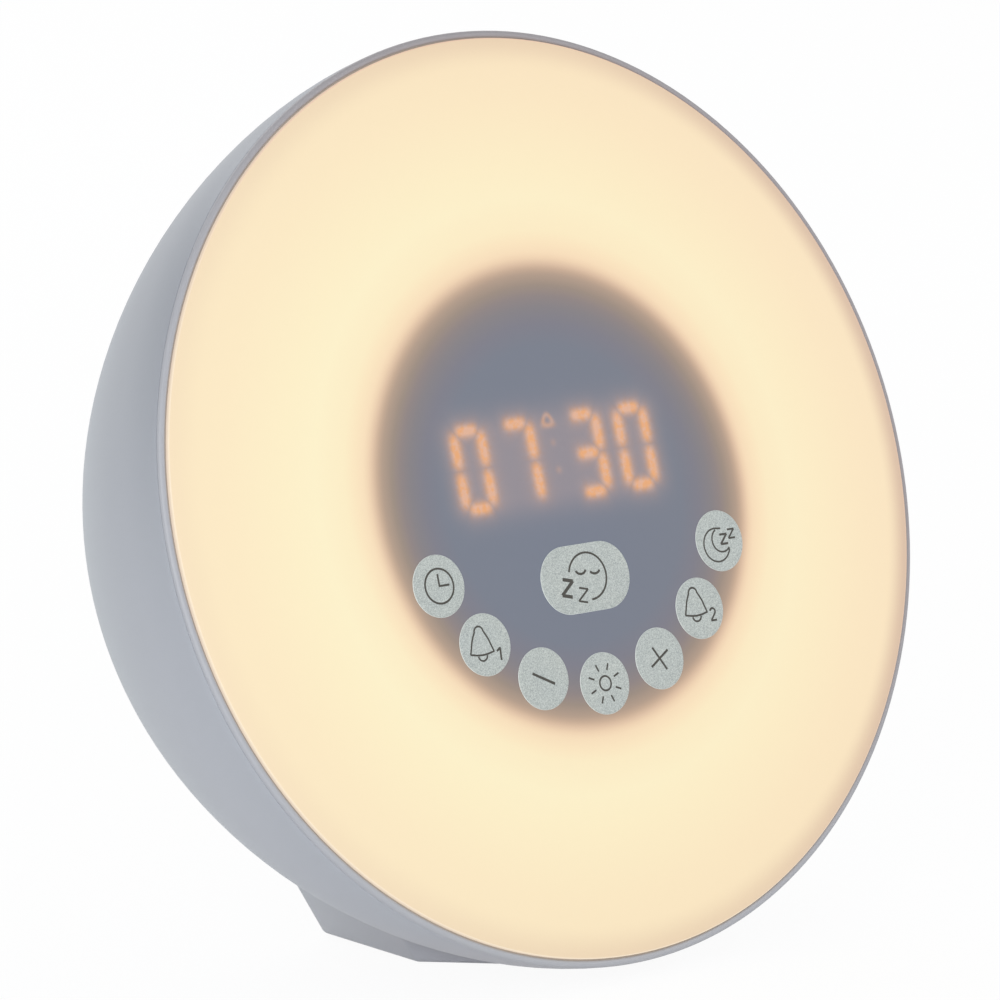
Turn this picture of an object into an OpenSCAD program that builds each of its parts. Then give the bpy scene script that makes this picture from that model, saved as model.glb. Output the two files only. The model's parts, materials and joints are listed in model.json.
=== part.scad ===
// Sunrise alarm clock: a round lit face on a bowl-shaped body that leans back on a moulded foot.
// Millimetres. +X is to the right as the user sees the face, +Y is backwards, +Z is up.
// The origin is the centre of the foot's underside, on the table.

/* [Face] */
// Radius of the front rim
rim_r = 85; // [82:0.5:88]
// How far the face leans back from upright, in degrees
tilt = 17.5; // [15:0.5:20]
// Width of the bright lip that frames the lens
lip_w = 1.5; // [0.8:0.1:2]
// Depth of the bezel ring seen from the side
lip_depth = 0.9; // [0.8:0.1:1.2]
// Height of the lens centre in front of the rim
lens_rise = 4.9; // [4:0.1:6]
// Height of the lens's rounded edge in front of the rim
lens_edge = 0.2; // [0.1:0.1:1.2]
// Wall thickness of the lens
lens_wall = 1.8; // [1.5:0.1:2]
// How flat the middle of the lens is
lens_flat = 2.6; // [2:0.1:4]
// How sharply the lens rolls off at its edge
lens_roll = 0.6; // [0.5:0.05:0.8]

/* [Touch pads] */
// Radius of the arc on which the seven round pads lie
pad_arc_r = 35.4; // [34:0.1:36]
// Angle between neighbouring round pads, in degrees
pad_step = 22.5; // [20:0.5:24]
// Height of the arc's centre above the middle of the face
pad_arc_y = 0.36; // [0:0.02:1]
// Radius of a round pad
pad_r = 5.6; // [5:0.1:6]
// Length of the snooze pad
snooze_l = 20.5; // [18:0.5:22]
// Height of the snooze pad
snooze_h = 12.4; // [10:0.2:13]
// Distance of the snooze pad below the middle of the face
snooze_drop = 15.9; // [15:0.1:17]
// How deep a pad is let into the lens
pad_sink = 0.4; // [0.3:0.05:0.6]
// How far a pad stands proud of the lens
pad_proud = 0.12; // [0.05:0.01:0.2]

/* [Bowl] */
// Wall thickness of the body
wall = 2.4; // [2:0.1:3]
// Radius that the bowl's curve loses over its full run
bowl_drop = 97.1; // [90:0.1:105]
// Full run of the bowl's curve behind the rim
bowl_run = 105.3; // [100:0.1:115]
// Roundness of the bowl's curve
bowl_pow = 1.68; // [1.6:0.01:1.8]
// Depth at which the curve turns into the rounded back edge
turn_w = 54.8; // [53:0.1:56]
// Depth of the flat back behind the rim
back_w = 62; // [61:0.5:64]

/* [Foot] */
// Width of the foot on the table
foot_w = 49; // [44:1:52]
// Length of the foot from front to back
foot_l = 39; // [36:1:42]
// How far the middle of the rim lies in front of the middle of the foot
foot_lag = 16.5; // [15:0.5:18]
// Outward slope of the foot's sides, millimetres for each millimetre of height
foot_slope = 0.63; // [0.4:0.01:0.7]
// Width of the slanted cut across each front corner of the foot
foot_cut = 11; // [8:0.5:12]
// Radius that rounds every corner of the foot
foot_corner_r = 1.5; // [1:0.5:4]
// Clearance of the bowl above the table
bowl_gap = 0.55; // [0.5:0.05:2]
// How far the rubber pad stands out of the foot
grip_proud = 0.3; // [0.2:0.1:0.8]

/* [Speaker] */
// Radius of the speaker
speaker_r = 20; // [18:0.5:20]
// Height of the speaker above the middle of the back
speaker_y = 23; // [22.5:0.5:24]
// Radius of a grille hole
grille_hole_r = 1.1; // [0.8:0.1:1.2]
// Distance between neighbouring rings of grille holes
grille_step = 4; // [3.5:0.1:4.2]

/* [Battery bay] */
// Radius of a cell
cell_r = 5.2; // [5:0.05:5.25]
// Length of a cell
cell_l = 44.5; // [44:0.1:44.6]
// Number of cells
cell_count = 3; // [3]
// Height of the middle of the bay on the back, below its centre
bay_drop = 20.4; // [20:0.1:21]
// Thickness of the battery door
door_t = 2; // [1.8:0.1:2.2]

/* [Reset key and power inlet] */
// Sideways distance of the key and of the inlet from the middle
port_x = 38; // [37:0.5:39]
// Radius of the reset key
key_r = 2.12; // [2:0.02:2.3]
// Travel of the reset key
key_travel = 0.8; // [0.4:0.1:1]
// Radius of the power socket
socket_r = 1.85; // [1.75:0.05:1.9]
// Radius of the power socket's centre pin
socket_pin_r = 0.65; // [0.5:0.05:0.7]

/* [Hidden] */
$fn = 96;
eps = 0.05;
run_gap = 0.08;

// Colours
shell_grey = [0.64, 0.66, 0.69];
lip_grey = [0.72, 0.73, 0.75];
lens_cream = [0.98, 0.92, 0.78];
pad_silver = [0.75, 0.77, 0.77];
board_green = [0.13, 0.36, 0.22];
white_plastic = [0.93, 0.93, 0.91];
black_plastic = [0.10, 0.10, 0.11];
steel = [0.68, 0.69, 0.71];

// ---- Body outline. Depths are measured behind the rim's front plane. ----

function bowl_r(w) = rim_r - bowl_drop * (1 - pow(1 - pow(w / bowl_run, bowl_pow), 1 / bowl_pow));
function bowl_slope(w) = atan((bowl_r(w) - bowl_r(w + 0.01)) / 0.01);

bowl_step = 2.2;
turn_slope = bowl_slope(turn_w);
turn_r = (back_w - turn_w) / (1 - sin(turn_slope));
flat_r = bowl_r(turn_w) - turn_r * cos(turn_slope);
turn_mid_w = turn_w - turn_r * sin(turn_slope);
inner_w = back_w - wall;

// Lowest reach of the bowl below the rim's centre, which sets how high the rim stands
bowl_low = max([for (w = [10:0.5:30]) bowl_r(w) * cos(tilt) + w * sin(tilt)]);
rim_h = bowl_low + bowl_gap;

// Points of the bowl's section from the front edge to the back's middle, moved in by a thickness
function bowl_section(front, inset) = concat(
    [[0, -front]],
    [for (w = [front:bowl_step:turn_w])
        [bowl_r(w) - inset * cos(bowl_slope(w)), -w + inset * sin(bowl_slope(w))]],
    [for (a = [turn_slope:(90 - turn_slope) / 6:90.01])
        [flat_r + (turn_r - inset) * cos(a), -turn_mid_w - (turn_r - inset) * sin(a)]],
    [[0, -back_w + inset]]);

// ---- Lens outline ----

lens_r = rim_r - lip_w - 0.1;
seat_w = 1.2;
lens_steps = 20;
function lens_z(r) =
    lens_edge + (lens_rise - lens_edge) * pow(1 - pow(min(r / lens_r, 1), lens_flat), lens_roll);
function lens_ring(i, r_max) = r_max * sin(90 * i / lens_steps);

// ---- Depths of the layers inside, front to back ----

housing_front = 1.5;
digits_front = 3;
display_w = 9;
board_t = 1.6;
light_w = 18.4;
dish_w = 20;
dish_t = 1.6;
dish_back = dish_w + dish_t;
main_w = 30;
main_back = main_w + board_t;
plug_t = 4.4;
boss_end = 27.5;

// ---- Battery bay ----

cell_pitch = 2 * cell_r + 0.1;
bay_half_x = 25;
bay_half_y = cell_count * cell_pitch / 2 + 0.3;
bay_y = -bay_drop;
bay_front = back_w - door_t - 2 * cell_r - 1;
cell_w = bay_front + 0.5 + cell_r;
door_half_x = 27;
door_top = bay_y + bay_half_y + 1.4;
door_gap = 0.4;
swing_gap = 0.8;
hinge_r = 1.4;
hinge_y = bay_y - bay_half_y - 1;
hinge_w = back_w - hinge_r;
hinge_pin_r = 0.7;
hinge_pin_l = 1.4;
barrel_l = 8;
barrel_pocket = 0.3;

// ---- Small fixings ----

well_at = [[port_x, 21], [-port_x, 21], [port_x, -21], [-port_x, -21]];
well_r = 4.6;
well_bore_r = 3.1;
well_floor = 2;
post_at = [[28, 20], [-28, 20], [28, -20], [-28, -20]];
display_post_at = [[31, 8], [-31, 8], [17, -24], [-17, -24]];
speaker_boss_d = 22.6;
speaker_boss_r = 2.4;
speaker_front = inner_w - 2;

// Plug places on the main board, and the leads' curves: start, two guides and end, as x, y, depth
light_plug = [27, -10];
power_plug = [24, 4];
speaker_plug = [-20, 8];
speaker_tab = [-10.8, 16.8];
battery_plug = [16, -14];
reset_plug = [-27, -2];
plug_end = main_back + plug_t;
lead_r = 0.6;
lead_gap = 0.8;

// ---- Helpers ----

// Puts children in the leaning frame of the face: local +Z points out of the lens
module face_frame() {
    translate([0, -foot_lag, rim_h]) rotate([90 - tilt, 0, 0]) children();
}

// A flat outline filled between two depths
module layer(front, back) {
    translate([0, 0, -back]) linear_extrude(back - front) children();
}

// A round bar between two depths
module bar(front, back, r) {
    translate([0, 0, -back]) cylinder(h = back - front, r = r);
}

// A rectangular block between two depths, centred on its own place
module block(size, front, back) {
    translate([-size.x / 2, -size.y / 2, -back]) cube([size.x, size.y, back - front]);
}

module at(p) {
    translate([p.x, p.y, 0]) children();
}

module at_each(places) {
    for (p = places) at(p) children();
}

// A pan-head screw: head on the far side of its seat, shaft running to a nearer depth
module screw(tip, seat, shaft_r, head_r, head_t) {
    bar(tip, seat + eps, shaft_r);
    bar(seat, seat + head_t, head_r);
}

module bowl_solid(front, inset) {
    rotate_extrude() polygon(bowl_section(front, inset));
}

// Where the foot's corners turn on one side at a height: rear, and both ends of the front cut
function foot_r(inset) = max(foot_corner_r - inset, 0.5);
function foot_turns(z, inset) =
    let (r = foot_r(inset), x = foot_w / 2 + foot_slope * z - inset - r, y = foot_l / 2 - inset - r,
         cut = foot_cut - inset * (2 - sqrt(2)) - r * (1 - tan(22.5)))
    [[x, y], [x, cut - y], [x - cut, -y]];

// The foot as a block that widens upwards into the bowl
foot_top = 20;
module foot_block(inset, low) {
    hull() for (z = [low, foot_top], p = foot_turns(z, inset), side = [-1, 1])
        translate([side * p.x, p.y, z]) cylinder(h = eps, r = foot_r(inset), $fn = 32);
}

// The outline of the rubber pad under the foot
grip_inset = 2.5;
grip_t = 1.1;
module grip_outline() {
    hull() for (p = foot_turns(0, grip_inset), side = [-1, 1])
        translate([side * p.x, p.y]) circle(foot_r(grip_inset), $fn = 32);
}

// ---- Touch pads ----

function pad_angle(i) = -90 + (i - 3) * pad_step;
function pad_place(i) =
    [pad_arc_r * cos(pad_angle(i)), pad_arc_y + pad_arc_r * sin(pad_angle(i))];

module snooze_outline() {
    bar_l = snooze_l - snooze_h;
    translate([-bar_l / 2, -snooze_drop - snooze_h / 2]) square([bar_l, snooze_h]);
    for (side = [-1, 1]) translate([side * bar_l / 2, -snooze_drop]) circle(snooze_h / 2);
}

// The skin of the lens between two heights above its surface, where pads lie
pad_zone_r = 46;
module lens_skin(low, high) {
    outer = [for (i = [0:12]) let (r = lens_ring(i, pad_zone_r * 1.24)) [r, lens_z(r) + high]];
    inner = [for (i = [12:-1:0]) let (r = lens_ring(i, pad_zone_r * 1.24)) [r, lens_z(r) + low]];
    rotate_extrude() polygon(concat(outer, inner));
}

module pad_cut(low, high) {
    intersection() {
        layer(-lens_rise - 2, 0) children();
        lens_skin(low, high);
    }
}

module round_pad(i) {
    color(pad_silver) face_frame()
        pad_cut(-pad_sink, pad_proud) translate(pad_place(i)) circle(pad_r);
}

// ---- Leads: a pair of round wires along one curve ----

function curve(p, t) =
    pow(1 - t, 3) * p[0] + 3 * pow(1 - t, 2) * t * p[1] + 3 * (1 - t) * t * t * p[2]
    + pow(t, 3) * p[3];
function heading(p, t) =
    let (d = 3 * pow(1 - t, 2) * (p[1] - p[0]) + 6 * (1 - t) * t * (p[2] - p[1])
             + 3 * t * t * (p[3] - p[2]))
    d / norm(d);

lead_rings = 12;
lead_sides = 8;
module wire(p) {
    points = [for (k = [0:lead_rings])
        let (t = k / lead_rings, d = heading(p, t), c = curve(p, t),
             side = cross(d, [0, 1, 0]) / norm(cross(d, [0, 1, 0])), top = cross(side, d))
        for (s = [0:lead_sides - 1])
            c + lead_r * (cos(s * 360 / lead_sides) * side + sin(s * 360 / lead_sides) * top)];
    skin = [for (k = [0:lead_rings - 1], s = [0:lead_sides - 1])
        let (a = k * lead_sides + s, b = k * lead_sides + (s + 1) % lead_sides)
        [a, b, b + lead_sides, a + lead_sides]];
    start_cap = [[for (s = [lead_sides - 1:-1:0]) s]];
    end_cap = [[for (s = [0:lead_sides - 1]) lead_rings * lead_sides + s]];
    polyhedron(points, concat(skin, start_cap, end_cap));
}

// Curve points are x, y and depth
module leads(p) {
    for (side = [-1, 1])
        wire([for (q = p) [q.x, q.y + side * lead_gap, -q.z]]);
}

// ---- Casing ----

module battery_bay_walls() {
    at([0, bay_y]) block([2 * bay_half_x + 4, 2 * bay_half_y + 4], bay_front - 2, inner_w + eps);
}

// The room for the cells, the door's recess and its hinge, cut from the back
module battery_bay_room() {
    outside = back_w + 1;
    at([0, bay_y]) block([2 * bay_half_x, 2 * bay_half_y], bay_front, outside);
    edge = hinge_y + hinge_r;
    recess_h = door_top + door_gap - edge;
    at([0, edge + recess_h / 2])
        block([2 * (door_half_x + door_gap), recess_h], back_w - door_t - 0.2, outside);
    for (side = [-1, 1]) {
        at([side * (door_half_x - barrel_l / 2), hinge_y])
            block([barrel_l + 2 * door_gap, 2 * (hinge_r + door_gap)],
                  back_w - 2 * hinge_r - barrel_pocket, outside);
        translate([side * door_half_x, hinge_y, -hinge_w]) rotate([0, 90 * side, 0])
            cylinder(h = hinge_pin_l + barrel_pocket, r = hinge_pin_r + run_gap);
    }
    // Scoop for a fingertip at the door's upper edge
    at([0, door_top]) bar(back_w - 1.1, outside, 6);
}

module grille_holes() {
    at([0, speaker_y]) {
        bar(inner_w - 1, back_w + 1, grille_hole_r);
        for (ring = [1:4], k = [0:6 * ring - 1])
            rotate(k * 60 / ring) translate([ring * grille_step, 0, 0])
                bar(inner_w - 1, back_w + 1, grille_hole_r);
    }
}

reset_post_y = 7.5;
reset_board_back = 50.3;
module inner_bosses() {
    at_each(well_at) bar(boss_end, inner_w + eps, well_r);
    at([0, speaker_y]) for (a = [45:90:315])
        rotate(a) translate([speaker_boss_d, 0, 0])
            bar(speaker_front, inner_w + eps, speaker_boss_r);
    for (side = [-1, 1]) at([-port_x, side * reset_post_y])
        bar(reset_board_back, inner_w + eps, 1.8);
}

rebate_r = rim_r - 2.3;
rebate_w = 8.5;
// The shell's front edge laps over a step in the bezel ring
step_r = rim_r - lip_w / 2 - 0.2;
step_w = 1.7;
module rear_shell() {
    color(shell_grey) difference() {
        union() {
            difference() {
                union() {
                    face_frame() bowl_solid(lip_depth, 0);
                    foot_block(0, grip_proud);
                }
                face_frame() bowl_solid(0, wall);
                face_frame() bar(0, rebate_w, rebate_r);
                face_frame() bar(0, step_w + eps, step_r + eps);
                foot_block(wall, grip_proud + wall);
            }
            face_frame() {
                battery_bay_walls();
                inner_bosses();
            }
        }
        face_frame() {
            battery_bay_room();
            grille_holes();
            at_each(well_at) {
                bar(boss_end + well_floor, back_w + 1, well_bore_r);
                bar(boss_end - 1, back_w, 1.75);
            }
            at([0, speaker_y]) for (a = [45:90:315])
                rotate(a) translate([speaker_boss_d, 0, 0])
                    bar(speaker_front - 1, speaker_front + speaker_screw_l + 0.2, speaker_pilot_r);
            at([port_x, 0]) bar(inner_w - 1, back_w + 1, inlet_nose_r);
            at([-port_x, 0]) bar(inner_w - 1, back_w + 1, key_r + run_gap);
        }
        translate([0, 0, -1]) linear_extrude(1 + grip_t) grip_outline();
    }
}

skirt_w = 8;
skirt_t = 2;
ledge_r = 79.5;
ledge_t = 1.6;
module bezel_ring() {
    lip_round = 0.7;
    corner = [for (a = [90:-15:0])
        [rim_r - lip_round + lip_round * cos(a), -lip_round + lip_round * sin(a)]];
    skirt_r = rebate_r - 0.1;
    color(lip_grey) face_frame() rotate_extrude() polygon(concat(
        [[ledge_r, -seat_w], [rim_r - lip_w, -seat_w], [rim_r - lip_w, 0]],
        corner,
        [[rim_r, -lip_depth], [step_r, -lip_depth], [step_r, -step_w], [skirt_r, -step_w],
         [skirt_r, -skirt_w], [skirt_r - skirt_t, -skirt_w], [skirt_r - skirt_t, -seat_w - ledge_t],
         [ledge_r, -seat_w - ledge_t]]));
}

module front_lens() {
    inner_r = lens_r - 1.9;
    front = [for (i = [0:lens_steps]) let (r = lens_ring(i, lens_r)) [r, lens_z(r)]];
    back = [for (i = [lens_steps:-1:0]) let (r = lens_ring(i, inner_r)) [r, lens_z(r) - lens_wall]];
    color(lens_cream) face_frame() difference() {
        rotate_extrude()
            polygon(concat(front, [[lens_r, -seat_w], [inner_r, -seat_w]], back));
        pad_cut(-pad_sink, 1) {
            for (i = [0:6]) translate(pad_place(i)) circle(pad_r);
            snooze_outline();
        }
    }
}

module clock_pad() { round_pad(0); }
module alarm_one_pad() { round_pad(1); }
module minus_pad() { round_pad(2); }
module light_pad() { round_pad(3); }
module plus_pad() { round_pad(4); }
module alarm_two_pad() { round_pad(5); }
module sleep_pad() { round_pad(6); }

module snooze_pad() {
    color(pad_silver) face_frame() pad_cut(-pad_sink, pad_proud) snooze_outline();
}

module foot_grip() {
    color(black_plastic) linear_extrude(grip_t) grip_outline();
}

// ---- Display ----

contact_r = 2.4;
module touch_contacts() {
    room = [for (i = [0:lens_steps]) let (r = lens_ring(i, lens_r - 1.9)) [r, lens_z(r) - lens_wall]];
    color(black_plastic) face_frame() intersection() {
        union() {
            for (i = [0:6]) translate(pad_place(i)) bar(-lens_rise, display_w, contact_r);
            translate([0, -snooze_drop]) bar(-lens_rise, display_w, contact_r);
        }
        rotate_extrude() polygon(concat(room, [[lens_r - 1.9, -dish_w], [0, -dish_w]]));
    }
}

housing_r = 41.4;
housing_t = 1.4;
ribbon_y = -20;
ribbon_w = 16;
ribbon_t = 0.6;
module ribbon_slot(front, back) {
    at([0, ribbon_y]) block([ribbon_w + 1, ribbon_t + 1], front, back);
}

module display_housing() {
    color(black_plastic) face_frame() difference() {
        union() {
            difference() {
                bar(housing_front, dish_w, housing_r);
                bar(housing_front - 1, dish_w - housing_t, housing_r - housing_t);
            }
            at_each(display_post_at) bar(display_w + board_t, dish_w - eps, 2.6);
        }
        at_each(display_post_at) bar(display_w, dish_w - housing_t, display_screw_r + eps);
        ribbon_slot(dish_w - housing_t - 1, dish_w + 1);
    }
}

display_screw_r = 1.1;
module display_board() {
    color(board_green) face_frame() difference() {
        bar(display_w, display_w + board_t, housing_r - housing_t - 1.4);
        at_each(display_post_at) bar(display_w - 1, display_w + board_t + 1, display_screw_r + 0.2);
    }
}

// Heads lie on the front of the board, so these point the other way
module display_screws() {
    color(steel) face_frame() at_each(display_post_at) {
        bar(display_w - 1.4, display_w, 2.3);
        bar(display_w - eps, display_w + 7, display_screw_r);
    }
}

digits_y = 6.2;
digit_x = [-19, -7.9, 7.7, 18.9];
digit_half = [3.2, 7.15];
segment_t = 1.5;
segment_gap = 0.6;
module digit_module() {
    color(black_plastic) face_frame()
        at([0, digits_y]) block([51, 20], digits_front, display_w);
}

// One bar of a digit, with pointed ends
module segment(length) {
    half = length / 2;
    polygon([[-half, 0], [-half + segment_t / 2, segment_t / 2], [half - segment_t / 2, segment_t / 2],
             [half, 0], [half - segment_t / 2, -segment_t / 2], [-half + segment_t / 2, -segment_t / 2]]);
}

// Lit bars of a digit: top, upper right, lower right, bottom, lower left, upper left, middle
module digit(lit) {
    wide = 2 * digit_half.x - segment_gap;
    tall = digit_half.y - segment_gap;
    for (k = [0:2]) if (lit[[0, 6, 3][k]])
        translate([0, digit_half.y * (1 - k)]) segment(wide);
    for (k = [0:3]) if (lit[[1, 2, 4, 5][k]])
        translate([digit_half.x * (k < 2 ? 1 : -1), digit_half.y / 2 * (k == 0 || k == 3 ? 1 : -1)])
            rotate(90) segment(tall);
}

module digit_segments() {
    zero = [true, true, true, true, true, true, false];
    seven = [true, true, true, false, false, false, false];
    three = [true, true, true, true, false, false, true];
    color("orange") face_frame() layer(digits_front - 0.2, digits_front) translate([0, digits_y]) {
        for (k = [0:3]) translate([digit_x[k], 0]) digit([zero, seven, three, zero][k]);
        for (y = [-2.5, 2.5, 7]) translate([0, y]) circle(0.7);
    }
}

module display_ribbon() {
    color(white_plastic) face_frame()
        at([0, ribbon_y]) block([ribbon_w, ribbon_t], display_w + board_t, main_w);
}

// ---- Light ----

dish_r = 77.6;
light_lead_at = [52, -10];
module reflector_dish() {
    collar_r = ledge_r - 0.2;
    flange_r = 80.3;
    flange_front = 0.7;
    color(white_plastic) face_frame() difference() {
        union() {
            rotate_extrude() polygon([[0, -dish_back], [dish_r, -dish_back],
                [collar_r, -seat_w - ledge_t], [collar_r, -seat_w], [flange_r, -seat_w],
                [flange_r, -flange_front], [collar_r - 1.4, -flange_front],
                [dish_r - 1.4, -dish_w], [0, -dish_w]]);
            at_each(well_at) bar(dish_back - eps, boss_end, 3.6);
            at_each(post_at) bar(dish_back - eps, main_w, 2.8);
        }
        at_each(well_at) bar(dish_back + 0.6, boss_end + 1, housing_screw_r + eps);
        at_each(post_at) bar(dish_back + 1, main_w + 1, board_screw_r + eps);
        at(light_lead_at) block([4, 6], dish_w - 1, dish_back + 1);
        ribbon_slot(dish_w - 1, dish_back + 1);
    }
}

module light_board() {
    color(white_plastic) face_frame() difference() {
        bar(light_w, dish_w, 74);
        bar(light_w - 1, dish_w + 1, 46);
    }
}

module led_ring(count, r, size, turn) {
    for (k = [0:count - 1]) rotate(turn + k * 360 / count) translate([r, 0, 0])
        block([size, size], light_w - 1, light_w);
}

module warm_leds() {
    color([1, 0.85, 0.45]) face_frame() led_ring(24, 62, 3, 0);
}

module colour_leds() {
    color("white") face_frame() led_ring(8, 53, 5, 22.5);
}

// ---- Electronics ----

board_screw_r = 1.1;
module main_board() {
    color(board_green) face_frame() difference() {
        block([64, 48], main_w, main_back);
        at_each(post_at) bar(main_w - 1, main_back + 1, board_screw_r + 0.2);
    }
}

module board_screws() {
    color(steel) face_frame()
        at_each(post_at) screw(dish_back + 2.5, main_back, board_screw_r, 2.5, 1.4);
}

module control_chips() {
    color(black_plastic) face_frame() {
        block([12, 12], main_back, main_back + 1.4);
        at([-1, 14]) block([6, 5], main_back, main_back + 1.5);
    }
}

module radio_can() {
    color(steel) face_frame() at([-12, -15]) block([11, 11], main_back, main_back + 2.6);
}

module capacitors() {
    color([0.16, 0.18, 0.32]) face_frame() {
        at([5, -14]) bar(main_back, main_back + 9, 4);
        at([10, 15]) bar(main_back, main_back + 7, 3.1);
        at([-10, 15]) bar(main_back, main_back + 6, 2.5);
    }
}

module clock_crystal() {
    color(steel) face_frame()
        translate([11, -3, -main_back - 1]) rotate([-90, 0, 0]) cylinder(h = 6, r = 1);
}

module lead_plugs() {
    color(white_plastic) face_frame()
        at_each([light_plug, power_plug, speaker_plug, battery_plug, reset_plug])
            block([4.4, 5], main_back, plug_end);
}

module light_leads() {
    color("red") face_frame() leads([[light_lead_at.x, light_lead_at.y, dish_w],
        [light_lead_at.x, light_lead_at.y, 48], [light_plug.x, light_plug.y, 52],
        [light_plug.x, light_plug.y, plug_end]]);
}

module power_leads() {
    color("red") face_frame() leads([[port_x, 0, inlet_end], [port_x, 0, 40],
        [power_plug.x, power_plug.y, 46], [power_plug.x, power_plug.y, plug_end]]);
}

module speaker_leads() {
    color("red") face_frame() leads([[speaker_tab.x, speaker_tab.y, basket_end],
        [speaker_tab.x, speaker_tab.y, 44], [speaker_plug.x, speaker_plug.y, 44],
        [speaker_plug.x, speaker_plug.y, plug_end]]);
}

module battery_leads() {
    color("red") face_frame() leads([[20, -14, bay_front - 2], [20, -14, 42],
        [battery_plug.x, battery_plug.y, 42], [battery_plug.x, battery_plug.y, plug_end]]);
}

module reset_leads() {
    color("red") face_frame() leads([[-port_x, 0, reset_board_back - 1.2], [-port_x, 0, 42],
        [reset_plug.x, reset_plug.y, 44], [reset_plug.x, reset_plug.y, plug_end]]);
}

// ---- Speaker ----

basket_end = 50;
speaker_pilot_r = 1.25;
speaker_screw_l = 1.6;
module speaker_gasket() {
    color(black_plastic) face_frame() at([0, speaker_y]) difference() {
        bar(inner_w - 1, inner_w, speaker_r);
        bar(inner_w - 2, inner_w + 1, speaker_r - 2);
    }
}

module speaker_frame() {
    color(steel) face_frame() at([0, speaker_y]) difference() {
        union() {
            bar(inner_w - 2, inner_w - 1, speaker_r);
            translate([0, 0, -inner_w + 2 - eps])
                cylinder(h = inner_w - 2 - basket_end + eps, r1 = 18.5, r2 = 14);
        }
        translate([0, 0, -inner_w])
            cylinder(h = inner_w - basket_end - 1, r1 = 17.8, r2 = 12.8);
    }
}

// Section as radius and depth: dust cap, cone, and the roll that joins the frame
module speaker_cone() {
    color([0.2, 0.2, 0.21]) face_frame() at([0, speaker_y]) rotate_extrude()
        polygon([[0, -54.4], [3, -53.9], [5.5, -52.9], [15.8, -58.5], [16.2, -59.1], [17.9, -59.1],
                 [17.9, -58.6], [16.6, -58.6], [15.9, -57.8], [5.5, -52.3], [0, -52.3]]);
}

module speaker_magnet() {
    color(steel) face_frame() at([0, speaker_y]) bar(basket_end - 6, basket_end, 11);
}

module speaker_screws() {
    color(steel) face_frame() at([0, speaker_y]) for (a = [45:90:315])
        rotate(a) translate([speaker_boss_d, 0, 0]) {
            bar(speaker_front - 1.2, speaker_front, 2.8);
            bar(speaker_front - eps, speaker_front + speaker_screw_l, speaker_pilot_r - eps);
        }
}

// ---- Power inlet ----

inlet_nose_r = 3.1;
inlet_end = 48.4;
module power_inlet() {
    color(black_plastic) face_frame() at([port_x, 0]) {
        difference() {
            union() {
                block([9, 9], inlet_end, inner_w);
                bar(inner_w - eps, back_w - 0.3, inlet_nose_r - eps);
            }
            bar(inlet_end + 2, back_w + 1, socket_r);
        }
        bar(inlet_end + 2 - eps, back_w - 2.5, socket_pin_r);
    }
}

// ---- Cells and their contacts ----

contact_t = 0.4;
dimple_l = 1;
cell_end_x = bay_half_x - contact_t - dimple_l;
function cell_y(k) = bay_y + cell_pitch * ((cell_count - 1) / 2 - k);
function cell_way(k) = k % 2 == 0 ? 1 : -1;

// Puts children at the middle of a contact plate, with local +Z pointing into the bay
module on_plate(k, way) {
    translate([way * (bay_half_x - contact_t), cell_y(k), -cell_w]) rotate([0, -90 * way, 0])
        children();
}

module contact_plate(k, way) {
    on_plate(k, way) translate([-4.4, -4.4, -contact_t]) cube([8.8, 8.8, contact_t]);
}

module battery_cells() {
    nub_l = 0.9;
    color([0.2, 0.35, 0.3]) face_frame() for (k = [0:cell_count - 1])
        translate([cell_way(k) * (cell_end_x - nub_l), cell_y(k), -cell_w])
            rotate([0, -90 * cell_way(k), 0]) {
                cylinder(h = cell_l - nub_l, r = cell_r);
                translate([0, 0, -nub_l]) cylinder(h = nub_l + eps, r = 1.9);
            }
}

module battery_plates() {
    color(steel) face_frame() for (k = [0:cell_count - 1]) {
        contact_plate(k, cell_way(k));
        on_plate(k, cell_way(k)) translate([0, 0, -eps]) cylinder(h = dimple_l + eps, r1 = 2.4, r2 = 1.6);
    }
}

module battery_springs() {
    spring_l = 2 * (bay_half_x - contact_t) - dimple_l - cell_l;
    color(steel) face_frame() for (k = [0:cell_count - 1]) {
        contact_plate(k, -cell_way(k));
        on_plate(k, -cell_way(k)) translate([0, 0, -eps]) cylinder(h = spring_l + eps, r1 = 3.6, r2 = 2.2);
    }
}

module battery_door() {
    middle_low = hinge_y + hinge_r + swing_gap;
    tongue_top = bay_y + bay_half_y - 0.5;
    color(shell_grey) face_frame() {
        difference() {
            union() {
                translate([-door_half_x, hinge_y, -back_w])
                    cube([2 * door_half_x, door_top - hinge_y, door_t]);
                for (side = [-1, 1])
                    translate([side * (door_half_x - barrel_l / 2), hinge_y, -hinge_w])
                        rotate([0, 90 * side, 0]) {
                            cylinder(h = barrel_l, r = hinge_r, center = true);
                            cylinder(h = barrel_l / 2 + hinge_pin_l, r = hinge_pin_r);
                        }
                // Tongue that holds the door shut in the bay's upper edge
                translate([-6, tongue_top - 0.9, -back_w + door_t - eps]) cube([12, 0.9, 1.8]);
            }
            // The lower edge is cut back between the barrels, to clear the body as the door swings
            translate([-door_half_x + barrel_l, hinge_y - hinge_r - 1, -back_w - 1])
                cube([2 * (door_half_x - barrel_l), middle_low - hinge_y + hinge_r + 1, door_t + 2]);
            // Grip lines below the fingertip scoop
            for (k = [0:2]) translate([-7, door_top - 5 - 2 * k, -back_w - 1]) cube([14, 0.9, 1.4]);
        }
    }
}

// ---- Reset key ----

key_flange_front = inner_w - 2;
plunger_front = 53;
module reset_key() {
    color(black_plastic) face_frame() at([-port_x, 0]) {
        bar(plunger_front + 2.5, back_w - 0.3, key_r);
        bar(key_flange_front, inner_w - 0.05, 3.4);
    }
}

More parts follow.
